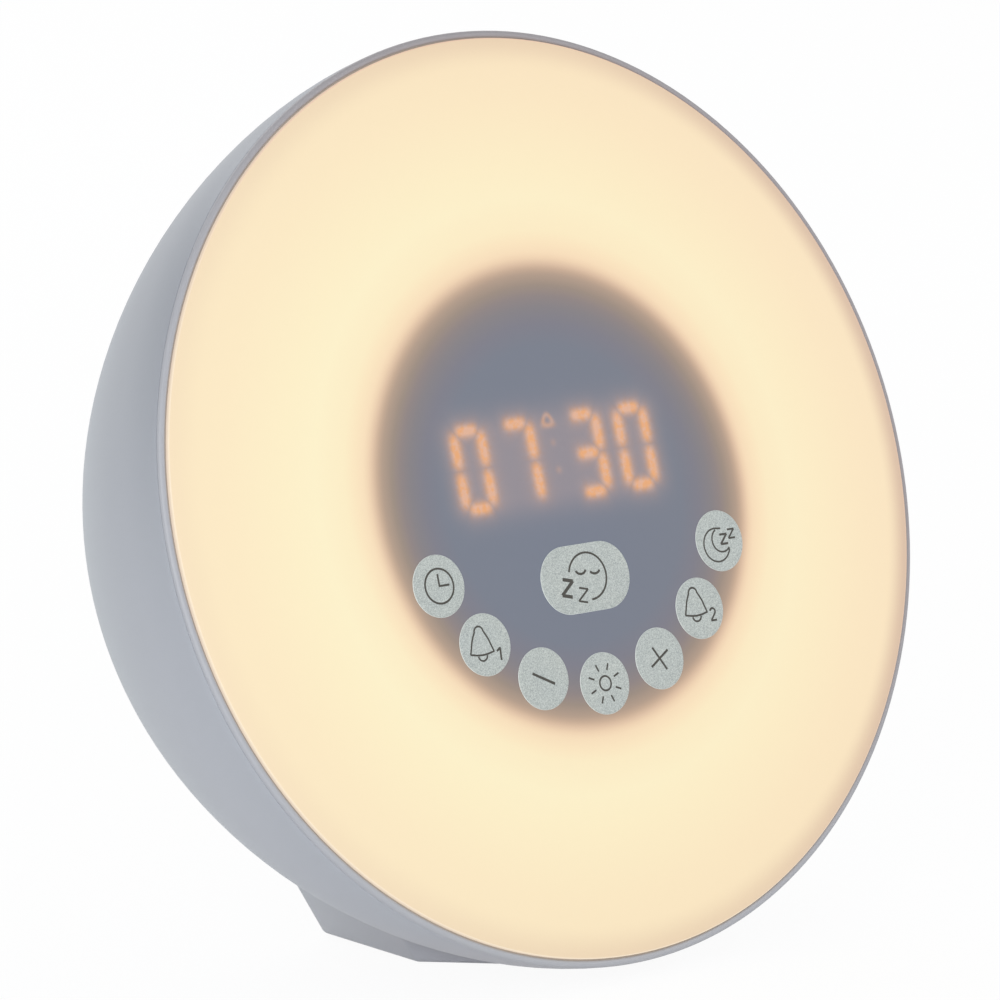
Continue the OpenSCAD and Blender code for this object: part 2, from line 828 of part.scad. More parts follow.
module reset_plunger() {
    color("white") face_frame() at([-port_x, 0]) bar(plunger_front, plunger_front + 2.5, 1.7);
}

module reset_switch() {
    color(black_plastic) face_frame() at([-port_x, 0]) difference() {
        block([6, 6], reset_board_back, reset_board_back + 3.5);
        bar(plunger_front - 1.2, reset_board_back + 4.5, 1.7 + run_gap);
    }
}

module reset_board() {
    color(board_green) face_frame() at([-port_x, 0])
        block([10, 19], reset_board_back - 1.2, reset_board_back);
}

// ---- Long screws that draw the front into the body ----

housing_screw_r = 1.4;
module housing_screws() {
    color(steel) face_frame() at_each(well_at)
        screw(dish_back + 1, boss_end + well_floor, housing_screw_r, 2.8, 2);
}

rear_shell();
bezel_ring();
front_lens();
clock_pad();
alarm_one_pad();
minus_pad();
light_pad();
plus_pad();
alarm_two_pad();
sleep_pad();
snooze_pad();
touch_contacts();
display_housing();
display_board();
digit_module();
digit_segments();
display_screws();
display_ribbon();
reflector_dish();
light_board();
warm_leds();
colour_leds();
main_board();
control_chips();
radio_can();
capacitors();
clock_crystal();
board_screws();
lead_plugs();
speaker_frame();
speaker_cone();
speaker_magnet();
speaker_gasket();
speaker_screws();
speaker_leads();
power_leads();
battery_leads();
light_leads();
reset_leads();
power_inlet();
battery_cells();
battery_springs();
battery_plates();
battery_door();
reset_key();
reset_plunger();
reset_switch();
reset_board();
housing_screws();
foot_grip();
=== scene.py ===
import bmesh
import bpy
import json
from math import atan2, cos, hypot, pi, radians, sin, sqrt, tan
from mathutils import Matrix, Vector


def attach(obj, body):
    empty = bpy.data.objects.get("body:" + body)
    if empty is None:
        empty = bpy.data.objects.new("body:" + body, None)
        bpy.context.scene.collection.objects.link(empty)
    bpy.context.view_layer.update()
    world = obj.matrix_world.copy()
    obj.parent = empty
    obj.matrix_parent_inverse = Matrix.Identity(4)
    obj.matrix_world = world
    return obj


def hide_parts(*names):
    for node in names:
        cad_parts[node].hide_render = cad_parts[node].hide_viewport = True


# Sunrise alarm clock. Shapes are drawn in millimetres, most of them lying on the clock's face
# (x to the right, y up the face, z out of the lens), and each finished piece is then put in its place.

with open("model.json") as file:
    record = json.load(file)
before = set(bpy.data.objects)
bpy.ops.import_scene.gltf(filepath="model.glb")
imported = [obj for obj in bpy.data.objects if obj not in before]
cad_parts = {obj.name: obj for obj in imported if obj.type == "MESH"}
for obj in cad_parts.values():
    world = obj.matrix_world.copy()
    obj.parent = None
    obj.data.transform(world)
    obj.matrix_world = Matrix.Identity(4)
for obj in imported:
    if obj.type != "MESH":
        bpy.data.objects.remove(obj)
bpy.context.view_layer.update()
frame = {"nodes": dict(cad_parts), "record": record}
mm = 0.001

# Where the face leans, and the shapes that several pieces share
clock = {
    "tilt": 17.5,           # degrees back from upright
    "rimMiddle": (0.0, -16.5, 84.207),
    "rimR": 85.0,
    "lipW": 1.3,            # bright lip round the lens
    "bezelDepth": 0.9,      # side of the bezel ring, up to the parting line
    "stepR": 84.05,         # the shell's edge laps over a step in the bezel ring
    "stepW": 1.7,
    "backW": 62.0,          # depth of the flat back behind the rim
    "wallT": 2.4,
}
faceTurn = radians(90 - clock["tilt"])
faceMiddle = Vector(clock["rimMiddle"]) * mm
backZ = -clock["backW"]


def deselectAll():
    if bpy.context.object and bpy.context.object.mode != "OBJECT":
        bpy.ops.object.mode_set(mode="OBJECT")
    bpy.ops.object.select_all(action="DESELECT")


def pick(piece, *others):  # the piece becomes active, and nothing else stays selected
    deselectAll()
    for chosen in (*others, piece):
        chosen.select_set(True)
    bpy.context.view_layer.objects.active = piece


def editPiece(piece, select="SELECT"):
    pick(piece)
    bpy.ops.object.mode_set(mode="EDIT")
    bpy.ops.mesh.select_all(action=select)


def leaveEdit():
    bpy.ops.object.mode_set(mode="OBJECT")


def nameIt(piece, name):
    piece.name = piece.data.name = name
    return piece


def newPiece(name):  # names the primitive that was just added
    return nameIt(bpy.context.object, name)


def joinPieces(piece, *others):
    pick(piece, *others)
    bpy.ops.object.join()
    return piece


def copyPiece(piece, name):
    pick(piece)
    bpy.ops.object.duplicate()
    return newPiece(name)


def copiesAt(first, name, places):  # copies a piece to each place, and takes the first away
    made = [movePiece(copyPiece(first, name), *place) for place in places]
    bpy.data.objects.remove(first)
    return made


def applyModifier(piece, kind, **settings):
    pick(piece)
    bpy.ops.object.modifier_add(type=kind)
    modifier = piece.modifiers[-1]
    for key, value in settings.items():
        setattr(modifier, key, value)
    bpy.ops.object.modifier_apply(modifier=modifier.name)


def movePiece(piece, x=0.0, y=0.0, z=0.0, turn=(0.0, 0.0, 0.0)):
    pick(piece)
    piece.location = (x, y, z)
    piece.rotation_euler = [radians(a) for a in turn]
    bpy.ops.object.transform_apply(location=True, rotation=True, scale=True)
    return piece


def drawLine(name, points):  # one vertex, extruded from point to point
    deselectAll()
    bpy.ops.mesh.primitive_plane_add(size=1)
    piece = newPiece(name)
    bpy.ops.object.mode_set(mode="EDIT")
    bpy.ops.mesh.select_all(action="SELECT")
    bpy.ops.mesh.merge(type="CENTER")
    bpy.ops.transform.translate(value=points[0])
    for here, there in zip(points, points[1:]):
        step = Vector(there) - Vector(here)
        bpy.ops.mesh.extrude_vertices_move(TRANSFORM_OT_translate={"value": step})
    leaveEdit()
    return piece


def faceOutwards():  # turns every face of the piece in edit mode, and leaves that mode
    bpy.ops.mesh.select_all(action="SELECT")
    bpy.ops.mesh.normals_make_consistent(inside=False)
    leaveEdit()


def spinPiece(name, section, steps=96, closed=False):  # section points are (radius, height)
    points = [(r, 0, z) for r, z in section]
    if closed:
        points.append(points[0])
    piece = drawLine(name, points)
    editPiece(piece)
    bpy.ops.mesh.spin(steps=steps, angle=2 * pi, center=(0, 0, 0), axis=(0, 0, 1))
    bpy.ops.mesh.select_all(action="SELECT")
    bpy.ops.mesh.remove_doubles(threshold=0.002)
    faceOutwards()
    return piece


def roundCorner(x, y, r, startAngle, endAngle, count=5):
    angles = [radians(startAngle + (endAngle - startAngle) * k / count) for k in range(count + 1)]
    return [(x + r * cos(a), y + r * sin(a)) for a in angles]


def extrudeOutline(name, outline, low, high):  # a flat outline made a block between two heights
    piece = drawLine(name, [(x, y, low) for x, y in [*outline, outline[0]]])
    editPiece(piece)
    bpy.ops.mesh.remove_doubles(threshold=0.002)
    bpy.ops.mesh.edge_face_add()
    bpy.ops.mesh.extrude_region_move(TRANSFORM_OT_translate={"value": (0, 0, high - low)})
    faceOutwards()
    return piece


def roundedBox(halfX, halfY, r, count=5):  # outline of a rectangle with round corners
    x, y = halfX - r, halfY - r
    return (roundCorner(x, y, r, 0, 90, count) + roundCorner(-x, y, r, 90, 180, count)
            + roundCorner(-x, -y, r, 180, 270, count) + roundCorner(x, -y, r, 270, 360, count))


def boxPiece(name, halfX, halfY, r, low, high, x=0.0, y=0.0, count=3):
    outline = roundedBox(halfX, halfY, r, count)
    return movePiece(extrudeOutline(name, outline, low, high), x, y)


def bar(name, r, low, high, x=0.0, y=0.0, sides=32):
    deselectAll()
    bpy.ops.mesh.primitive_cylinder_add(vertices=sides, radius=r, depth=high - low,
                                        location=(x, y, (low + high) / 2))
    piece = newPiece(name)
    bpy.ops.object.transform_apply(location=True, rotation=True, scale=True)
    return piece


def cutPiece(piece, *cutters):
    cutter = joinPieces(cutters[0], *cutters[1:])
    applyModifier(piece, "BOOLEAN", operation="DIFFERENCE", solver="EXACT", object=cutter,
                  use_self=True)
    bpy.data.objects.remove(cutter)


def bevelEdges(piece, width, segments=3, minAngle=40):
    applyModifier(piece, "BEVEL", width=width, segments=segments, limit_method="ANGLE",
                  angle_limit=radians(minAngle), harden_normals=False)


# Puts a drawn piece in its place, gives it its finish, and makes it ride with its body
def finishPiece(piece, material, body="body", replaces=(), angle=35, onFace=True):
    pick(piece)
    if onFace:
        piece.location = faceMiddle
        piece.rotation_euler = (faceTurn, 0, 0)
    piece.scale = (mm, mm, mm)
    bpy.ops.object.transform_apply(location=True, rotation=True, scale=True)
    bpy.ops.object.shade_smooth_by_angle(angle=radians(angle))
    piece.data.materials.clear()
    piece.data.materials.append(material)
    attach(piece, body)
    if replaces:
        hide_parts(*replaces)


def screenColour(r, g, b):  # a colour as seen on screen, 0 to 255, as Blender's linear values
    def linear(c):
        c /= 255
        return c / 12.92 if c <= 0.04045 else ((c + 0.055) / 1.055) ** 2.4
    return (linear(r), linear(g), linear(b), 1.0)


class Term:
    # One number that runs through a material, so that sums of nodes read as plain sums
    def __init__(self, finish, socket):
        self.finish, self.socket = finish, socket

    def __add__(self, other):
        return self.finish.maths("ADD", self, other)

    def __sub__(self, other):
        return self.finish.maths("SUBTRACT", self, other)

    def __rsub__(self, other):
        return self.finish.maths("SUBTRACT", other, self)

    def __mul__(self, other):
        return self.finish.maths("MULTIPLY", self, other)

    def __truediv__(self, other):
        return self.finish.maths("DIVIDE", self, other)

    def __abs__(self):
        return self.finish.maths("ABSOLUTE", self)

    def root(self):
        return self.finish.maths("SQRT", self)

    def power(self):  # e to this power
        return self.finish.maths("EXPONENT", self)

    __radd__, __rmul__ = __add__, __mul__


class Finish:
    # A material under work: node() adds any node, and the rest are the ones used most
    def __init__(self, name):
        self.material = bpy.data.materials.new(name)
        self.material.use_nodes = True
        self.nodes = self.material.node_tree.nodes
        self.links = self.material.node_tree.links
        self.shader = self.nodes["Principled BSDF"]

    def node(self, kind, settings=None, **inputs):
        made = self.nodes.new("ShaderNode" + kind)
        for key, value in (settings or {}).items():
            setattr(made, key, value)
        for key, value in inputs.items():
            self.feed(made.inputs[int(key[2:]) if key.startswith("in") else key], value)
        return made

    def feed(self, socket, value):
        if isinstance(value, Term):
            self.links.new(value.socket, socket)
        elif isinstance(value, bpy.types.NodeSocket):
            self.links.new(value, socket)
        else:
            socket.default_value = value

    def maths(self, operation, *terms):
        inputs = {f"in{k}": term for k, term in enumerate(terms)}
        return Term(self, self.node("Math", {"operation": operation}, **inputs).outputs[0])

    def step(self, low, high, term):  # 0 below low, 1 above high, smooth between
        made = self.node("MapRange", {"interpolation_type": "SMOOTHSTEP"},
                         in0=term, in1=low, in2=high)
        return Term(self, made.outputs[0])

    def blend(self, factor, first, second, how="MIX"):
        made = self.node("Mix", {"data_type": "RGBA", "blend_type": how, "clamp_factor": True},
                         in0=factor, in6=first, in7=second)
        return made.outputs[2]

    def tint(self, colour, by):
        return self.blend(1.0, colour, by, "MULTIPLY")

    def place(self):  # position on the object, in metres
        return self.node("TexCoord").outputs["Object"]

    def facePlace(self):  # x, y and z on the clock's face, in millimetres
        turned = self.node("Mapping", {"vector_type": "TEXTURE"}, Vector=self.place(),
                           Location=faceMiddle, Rotation=(faceTurn, 0, 0), Scale=(mm, mm, mm))
        return turned.outputs[0]

    def split(self, vector):
        made = self.node("SeparateXYZ", in0=vector)
        return [Term(self, out) for out in made.outputs]

    def noise(self, scale, detail=2.0, rough=0.5):
        made = self.node("TexNoise", Vector=self.place(), Scale=scale, Detail=detail, Roughness=rough)
        return Term(self, made.outputs["Fac"])

    def ramp(self, term, stops):  # stops are (place from 0 to 1, colour)
        made = self.node("ValToRGB", in0=term)
        band = made.color_ramp
        while len(band.elements) < len(stops):
            band.elements.new(0.5)
        for element, (at, colour) in zip(band.elements, stops):
            element.position, element.color = at, colour
        return made.outputs[0]

    def bump(self, height, distance, strength=1.0):
        made = self.node("Bump", Height=height, Distance=distance, Strength=strength)
        self.feed(self.shader.inputs["Normal"], made.outputs[0])

    def done(self, **sockets):
        for key, value in sockets.items():
            self.feed(self.shader.inputs[key.replace("_", " ")], value)
        return self.material

    def grained(self, colour, roughness, depth, scale=2600, **sockets):  # a very fine spark-eroded grain
        fine = self.noise(scale, 2, 0.6)
        self.bump(fine, depth, 0.6)
        return self.done(Base_Color=colour, Roughness=fine * 0.08 + (roughness - 0.04), **sockets)


# Moulded plastic, whose colour wanders a little
def mouldedPlastic(name, colour, roughness, grain=0.5, wander=0.04, coat=0.0):
    finish = Finish(name)
    darker, lighter = (tuple(min(c * share, 1) for c in screenColour(*colour)[:3]) + (1,)
                       for share in (1 - wander, 1 + wander))
    return finish.grained(finish.blend(finish.noise(28, 3), darker, lighter), roughness,
                          0.00002 * grain, Coat_Weight=coat)


# Bare or plated metal, with a faint cloudiness in its gloss
def plainMetal(name, colour, roughness, streak=0.12, shade=0.86):
    finish = Finish(name)
    cloudy = finish.noise(420, 4, 0.6)
    bright = screenColour(*colour)
    dull = tuple(c * shade for c in bright[:3]) + (1,)
    return finish.done(Base_Color=finish.blend(cloudy, dull, bright), Metallic=0.95,
                       Roughness=cloudy * streak + roughness)


# Painted shade on the shell: darker just behind the rim and darker high up, lighter further back
shellLook = {
    "rimLow": screenColour(164, 168, 175),   # just behind the rim, low down and high up
    "rimHigh": screenColour(145, 149, 156),
    "sideLow": screenColour(168, 172, 179),  # and further back
    "sideHigh": screenColour(158, 162, 168),
    "nearBack": screenColour(176, 182, 187),
    "footTint": (1.0, 0.955, 0.95, 1.0),     # the foot is a little less blue
    "footTop": (0.004, 0.018),               # between these heights, in metres, the tint fades out
    "roughness": 0.46,
}
bezelLook = {
    "lampSide": screenColour(159, 161, 167),
    "farSide": screenColour(143, 139, 142),
    "roughness": 0.40,
}


def shellPlastic():
    finish = Finish("satinShellPlastic")
    x, y, depth = finish.split(finish.facePlace())
    # painted shade: darker just behind the rim and high up, lighter further back
    high, behind = finish.step(-30, 60, y), 0 - depth
    rim = finish.blend(high, shellLook["rimLow"], shellLook["rimHigh"])
    side = finish.blend(high, shellLook["sideLow"], shellLook["sideHigh"])
    base = finish.blend(finish.step(2, 16, behind), rim, side)
    base = finish.blend(finish.step(12, 54, behind), base, shellLook["nearBack"])
    lowDown = 1 - finish.step(*shellLook["footTop"], finish.split(finish.place())[2])
    base = finish.blend(lowDown, base, finish.tint(base, shellLook["footTint"]))
    cloudy = finish.blend(finish.noise(22, 3), screenColour(247, 247, 250), screenColour(255, 255, 255))
    return finish.grained(finish.tint(base, cloudy), shellLook["roughness"], 0.000016, 2400)


# The ring carries painted shade: lighter on the lamp side, darker where it turns away, at the top and on the
# right
def ringPlastic():
    finish = Finish("satinBezelPlastic")
    x, y, z = finish.split(finish.facePlace())
    colour = finish.blend(finish.step(-70, 80, x + y), bezelLook["lampSide"], bezelLook["farSide"])
    return finish.grained(colour, bezelLook["roughness"], 0.000008)


# The lit lens: its glow is painted by place on the face. Distances are from the middle of the
# unlit zone, in millimetres, each with the colour that the lens shows there.
lensGlow = {
    "zoneMiddle": (-1.0, -0.5),
    "zoneEdge": (38, 46),
    "stops": [
        (0, (119, 126, 141)), (27, (121, 127, 140)), (31, (126, 126, 137)), (34, (133, 129, 133)),
        (36, (142, 132, 131)), (38, (156, 141, 129)), (40, (178, 156, 138)), (41, (198, 171, 148)),
        (42, (223, 194, 166)), (43, (240, 213, 180)), (44, (247, 223, 188)), (46, (250, 230, 193)),
        (48, (251, 236, 198)), (54, (252, 240, 202)), (60, (252, 238, 200)), (72, (251, 233, 197)),
        (80, (250, 231, 196)), (85, (248, 227, 194)),
    ],
    "reach": 90.0,
    "sideTint": (1.0, 0.972, 0.962, 1.0),   # the side away from the lamp's warm spot
    # Painted shade where the lens rolls away at its rim, strongest on the right
    "edgeTint": (0.75, 0.68, 0.72, 1.0),    # where the lens rolls away at its rim
    "rollR": (77.4, 83.0),                  # between these distances from its middle
    "rollShares": (0.28, 0.6, 0.12),        # more from left to middle, more from there on, and everywhere
    # Painted highlight along the lens's rounded edge, dimmer at the top and on the right
    "edgeLine": (252, 235, 210),            # thin line of light along the lens's rounded edge
    "edgeLineFar": (238, 203, 180),         # and at the top and on the right
    "edgeLineShare": 0.9,
    "wallGlow": (240, 222, 203),            # and its side wall, down to where the gasket hides it
    # painted shade on the lens's side wall, down in the gap behind the gasket
    "wallShade": (158, 146, 134),
    "litShare": 0.30,       # how much of the colour comes from the room's light outside the zone
    "unlitShare": 0.62,     # and inside it
    "roomLevel": 1.2,       # what the room's light makes of a colour here
    "sheen": 0.022,         # and what its reflection adds
    "wallR": 83.39,         # from here outwards is the lens's side wall
    "wallTop": 0.18,        # the wall's glow starts below this height
    "wallLow": -0.55,       # and has gone below this one
}
# Clock digits as they show through the lens: middles across the face, and half width and height
digitGlow = {
    "x": (-20.2, -9.1, 6.3, 17.5),
    "y": 6.15,
    "half": (3.05, 7.0),
    "barX": (1.12, 2.45),   # softness across and along a lying bar
    "barY": (1.19, 3.2),    # and a standing one
    "colour": (226, 160, 100),
    "paler": (219, 170, 140),
    "strength": 0.88,
    "haze": (0.16, 0.22),   # strength, and how fast it falls
    "dots": ((-1.2, 8.9, 0.15), (-1.1, 3.9, 0.20)),     # place and strength
    "dotFall": 2.2,
    "bell": (-1.6, 13.0, 0.42, 0.95, 3.6),  # place, strength, radius and how fast it falls
    "windowX": (-1.35, 20.5),   # the whole window is a little lighter: middle and half width,
    "windowHalfY": 5.5,         # half height, how softly it ends, its colour and how strong it is
    "windowSoft": 4.0,
    "windowColour": (225, 190, 178),
    "windowShare": 0.19,
}


def litLens():
    finish = Finish("opalLens")
    x, y, z = finish.split(finish.facePlace())

    def distance(across, up):
        return (across * across + up * up).root()

    midX, midY = lensGlow["zoneMiddle"]
    fromZone, fromMiddle = distance(x - midX, y - midY), distance(x, y)
    stops = [(at / lensGlow["reach"], screenColour(*colour)) for at, colour in lensGlow["stops"]]
    glow = finish.ramp(fromZone / lensGlow["reach"], stops)
    glow = finish.blend(finish.step(-70, 70, x + y * 0.3), glow, finish.tint(glow, lensGlow["sideTint"]))
    # painted shade at the lens's rim, stronger towards the right
    rightward = x / finish.maths("MAXIMUM", fromMiddle, 1)
    toMiddle, toRight, everywhere = lensGlow["rollShares"]
    turned = (finish.step(-1.0, 0.2, rightward) * toMiddle
              + finish.step(0.2, 1.1, rightward) * toRight + everywhere)
    rollShade = finish.step(*lensGlow["rollR"], fromMiddle) * turned
    glow = finish.blend(rollShade, glow, finish.tint(glow, lensGlow["edgeTint"]))
    wallR, wallTop, wallLow = lensGlow["wallR"], lensGlow["wallTop"], lensGlow["wallLow"]
    # painted highlight along the lens's rounded edge
    edgeLine = finish.step(wallR - 0.20, wallR - 0.08, fromMiddle) * lensGlow["edgeLineShare"]
    lineColour = finish.blend(finish.step(-70, 80, x + y), screenColour(*lensGlow["edgeLine"]),
                              screenColour(*lensGlow["edgeLineFar"]))
    glow = finish.blend(edgeLine, glow, lineColour)
    wall = finish.step(wallR, wallR + 0.05, fromMiddle)
    glow = finish.blend(wall * (1 - finish.step(wallTop - 0.1, wallTop, z)), glow,
                        screenColour(*lensGlow["wallGlow"]))
    # painted shade: the wall goes dark, and stops glowing, below where the gasket hides it
    gapShade = wall * (1 - finish.step(wallLow - 0.2, wallLow + 0.1, z))
    glow = finish.blend(gapShade, glow, screenColour(*lensGlow["wallShade"]))

    # One lit bar of a digit, from the middle of the bar: soft on every side, with pointed ends
    def litBar(across, along, soft):
        far = along / soft[1]
        return across * across / soft[0] ** 2 + far * far * far * far

    wide, tall = digitGlow["half"]
    lying, standing = digitGlow["barX"], digitGlow["barY"]
    up = y - digitGlow["y"]
    fromLine = abs(up)
    fromHalf, fromTop = abs(fromLine - tall / 2), fromLine - tall
    bars = []
    for digit, middle in zip("0730", digitGlow["x"]):
        over = x - middle
        side = abs(over)
        bars.append(litBar(up - tall if digit == "7" else fromTop, side, lying))
        if digit == "3":
            bars.append(litBar(up, side, lying))
        bars.append(litBar((side if digit == "0" else over) - wide, fromHalf, standing))
    fall = bars[0]
    for nextBar in bars[1:]:
        fall = finish.maths("MINIMUM", fall, nextBar)
    haze, hazeFall = digitGlow["haze"]
    lit = (0 - fall).power() * digitGlow["strength"] + (fall * -hazeFall).power() * haze
    for dotX, dotY, strength in digitGlow["dots"]:
        dot = (x - dotX) * (x - dotX) + (y - dotY) * (y - dotY)
        lit = lit + (dot * -digitGlow["dotFall"]).power() * strength
    bellX, bellY, strength, bellR, bellFall = digitGlow["bell"]
    bellUp = y - bellY
    fromRing = distance((x - bellX) * (1 + bellUp * 0.3), bellUp) - bellR
    lit = lit + (fromRing * fromRing * -bellFall).power() * strength
    lit = finish.maths("MINIMUM", lit, digitGlow["strength"])

    windowMiddle, windowHalf = digitGlow["windowX"]
    pastX = finish.maths("MAXIMUM", abs(x - windowMiddle) - windowHalf, 0)
    pastY = finish.maths("MAXIMUM", fromLine - digitGlow["windowHalfY"], 0)
    past = (pastX * pastX + pastY * pastY) / digitGlow["windowSoft"] ** 2
    window = (0 - past).power() * digitGlow["windowShare"]
    glow = finish.blend(window, glow, screenColour(*digitGlow["windowColour"]))

    zone = 1 - finish.step(*lensGlow["zoneEdge"], fromZone)
    share = zone * (lensGlow["unlitShare"] - lensGlow["litShare"]) + lensGlow["litShare"]
    emitted = finish.tint(glow, 1 - share * lensGlow["roomLevel"])
    emitted = finish.blend(1.0, emitted, (lensGlow["sheen"],) * 3 + (1,), "SUBTRACT")
    emitted = finish.blend(gapShade, emitted, (0, 0, 0, 1))
    mottle = finish.step(0.35, 0.65, finish.noise(900, 2, 0.5))
    barColour = finish.blend(mottle, screenColour(*digitGlow["colour"]), screenColour(*digitGlow["paler"]))
    base = finish.blend(lit, finish.tint(glow, share), screenColour(70, 52, 40))
    emitted = finish.blend(lit, emitted, barColour)
    milky = finish.noise(900, 3, 0.6)
    finish.bump(milky, 0.00001, 0.5)
    return finish.done(Base_Color=base, Emission_Color=emitted, Emission_Strength=1.0,
                       Roughness=milky * 0.06 + 0.40, Specular_IOR_Level=0.35)


# Silvered pads: fine bright and dark specks, and a painted highlight on the rounded edge
padLook = {
    "dark": screenColour(146, 152, 150),
    "bright": screenColour(189, 194, 190),
    # painted highlight on the pads' rounded edge
    "rim": screenColour(208, 214, 210),
    "faces": (0.0, -cos(radians(clock["tilt"])), sin(radians(clock["tilt"]))),  # out of the lens
}


def padSilver():
    finish = Finish("grainedSilver")
    speck = finish.noise(4600, 2, 0.75)
    patch = finish.noise(160, 3)
    grain = finish.blend(finish.step(0.34, 0.66, speck), padLook["dark"], padLook["bright"])
    tone = finish.blend(patch, screenColour(243, 245, 248), screenColour(255, 255, 253))
    silver = finish.tint(grain, tone)
    facing = finish.node("VectorMath", {"operation": "DOT_PRODUCT"},
                         in0=finish.node("TexCoord").outputs["Normal"], in1=padLook["faces"])
    # painted highlight where the edge turns away from the face
    rim = 1 - finish.step(0.75, 0.96, Term(finish, facing.outputs["Value"]))
    finish.bump(speck, 0.00002, 0.5)
    return finish.done(Base_Color=finish.blend(rim, silver, padLook["rim"]), Metallic=0.2,
                       Roughness=speck * 0.15 + 0.42)


print("materials")
satinShell = shellPlastic()
bezelPlastic = ringPlastic()
opalLens = litLens()
silver = padSilver()
iconInk = mouldedPlastic("iconInk", (54, 52, 46), 0.55, 0.6, 0.10)
# pale warm grey: partly the gasket's colour, partly painted light from the lens's glow in the gap
gasketRubber = mouldedPlastic("gasketRubber", (160, 150, 140), 0.85, 0.8, 0.08)
blackPlastic = mouldedPlastic("blackMouldedPlastic", (42, 42, 45), 0.42, 0.8, 0.10)
whitePlastic = mouldedPlastic("whiteMouldedPlastic", (236, 236, 233), 0.40)
foam = mouldedPlastic("blackFoam", (36, 36, 38), 0.92, 4.0, 0.25)
rubber = mouldedPlastic("footRubber", (48, 48, 51), 0.82, 1.5, 0.15)
boardGreen = mouldedPlastic("boardCoating", (28, 92, 58), 0.30, 0.3, 0.12, 0.3)
litOrange = mouldedPlastic("litOrange", (242, 150, 70), 0.35)
ledYellow = mouldedPlastic("ledPhosphor", (246, 214, 110), 0.40, 0.5, 0.08)
coneFibre = mouldedPlastic("pressedPaper", (52, 52, 55), 0.85, 3.0, 0.20)
sleeveBlue = mouldedPlastic("capacitorSleeve", (44, 48, 92), 0.30, 0.3, 0.06)
cellSleeve = mouldedPlastic("cellSleeve", (70, 108, 92), 0.28, 0.3, 0.05, 0.4)
wireRed = mouldedPlastic("wireInsulation", (176, 40, 34), 0.45, 0.6, 0.08)
steel = plainMetal("platedSteel", (196, 198, 202), 0.24)
magnetIron = plainMetal("magnetIron", (122, 122, 126), 0.40)
nickel = plainMetal("nickelPlate", (208, 206, 200), 0.20)

# Finishes of the CAD nodes that stay as they are, by the record's slots
slotFinish = {
    "shell": satinShell, "bezel": bezelPlastic, "lens": opalLens, "pad": silver, "foam": foam,
    "black_plastic": blackPlastic, "board": boardGreen, "lit_orange": litOrange, "screws": steel,
    "ribbon": whitePlastic, "white_plastic": whitePlastic, "white_board": whitePlastic,
    "warm_led": ledYellow, "tin": steel, "capacitor": sleeveBlue, "cone": coneFibre,
    "magnet": magnetIron, "wire": wireRed, "cell": cellSleeve, "contacts": nickel, "rubber": rubber,
}
for part in frame["record"]["subparts"]:
    node = frame["nodes"][part["node"]]
    node.data.materials.clear()
    node.data.materials.append(slotFinish[part["material_slot"]])


# The bowl-shaped shell: its side is spun round the face's axis
bowl = {
    "drop": 97.1, "run": 105.3, "power": 1.68,  # the curve of its side
    "turnW": 54.8,          # where the side turns into the flat back
    "plateR": 49.0,         # the back's flat plate is modelled apart, out to here
    "seamT": 0.12,          # half round edge at the parting line
    "rebateR": 82.7,        # room for the bezel ring's skirt
    "rebateW": 8.5,
    "steps": 144,
}


def bowlR(w):
    return clock["rimR"] - bowl["drop"] * (1 - (1 - (w / bowl["run"]) ** bowl["power"]) ** (1 / bowl["power"]))


def bowlSlope(w):
    return atan2(bowlR(w - 0.01) - bowlR(w + 0.01), 0.02)


def bowlSection():
    slope = bowlSlope(bowl["turnW"])
    turnR = (clock["backW"] - bowl["turnW"]) / (1 - sin(slope))
    flatR, turnMid = bowlR(bowl["turnW"]) - turnR * cos(slope), bowl["turnW"] - turnR * sin(slope)
    start, seam = clock["bezelDepth"] + 0.08, bowl["seamT"]
    outer = [(bowlR(start) - seam * (1 - sin(a)), -(start + seam * (1 - cos(a))))
             for a in (0, pi / 6, pi / 3, pi / 2)]
    count = 30
    side = [start + seam + (bowl["turnW"] - start - seam) * k / count for k in range(1, count + 1)]
    outer += [(bowlR(w), -w) for w in side]
    turn = [slope + (pi / 2 - slope) * k / 8 for k in range(1, 9)]
    outer += [(flatR + turnR * cos(a), -turnMid - turnR * sin(a)) for a in turn]
    outer.append((bowl["plateR"], -clock["backW"]))
    t = clock["wallT"]
    inner = [(bowl["plateR"], -clock["backW"] + t)]
    inner += [(flatR + (turnR - t) * cos(a), -turnMid - (turnR - t) * sin(a)) for a in reversed(turn)]
    inner += [(bowlR(w) - t * cos(bowlSlope(w)), -w + t * sin(bowlSlope(w)))
              for w in (54, 48, 40, 32, 24, 16, 9)]
    lapR, lapW = clock["stepR"] + 0.05, clock["stepW"] + 0.05
    inner += [(bowl["rebateR"], -bowl["rebateW"]), (bowl["rebateR"], -lapW), (lapR, -lapW), (lapR, -start)]
    return inner, outer


print("shell")
innerSection, outerSection = bowlSection()
shell = spinPiece("bowl_shell", innerSection + outerSection, bowl["steps"])


# The flat back, with the openings for speaker, screws, key, socket and cells
back = {
    "speakerY": 23.0, "grilleHoleR": 1.1, "grilleStep": 4.0, "grilleRings": 4,
    "wells": [(38, 21), (-38, 21), (38, -21), (-38, -21)], "wellBoreR": 3.1,
    "wellR": 4.6, "wellFront": 27.5, "wellFloor": 29.5, "screwR": 1.75,
    "portX": 38.0, "keyHoleR": 2.2, "inletHoleR": 3.1,
    "holeEdge": 0.25,
}
bay = {
    "y": -20.4, "halfX": 25.0, "halfY": 16.05, "front": 48.6,
    "doorHalfX": 27.0, "doorTop": -2.95, "doorT": 2.0, "gap": 0.4, "swingGap": 0.8,
    "hingeY": -37.45, "hingeW": 60.6, "hingeR": 1.4, "pinR": 0.7, "barrelL": 8.0,
    "wallT": 2.0, "scoopR": 6.0,
}
outside = backZ - 1  # the cutters begin this far behind the back


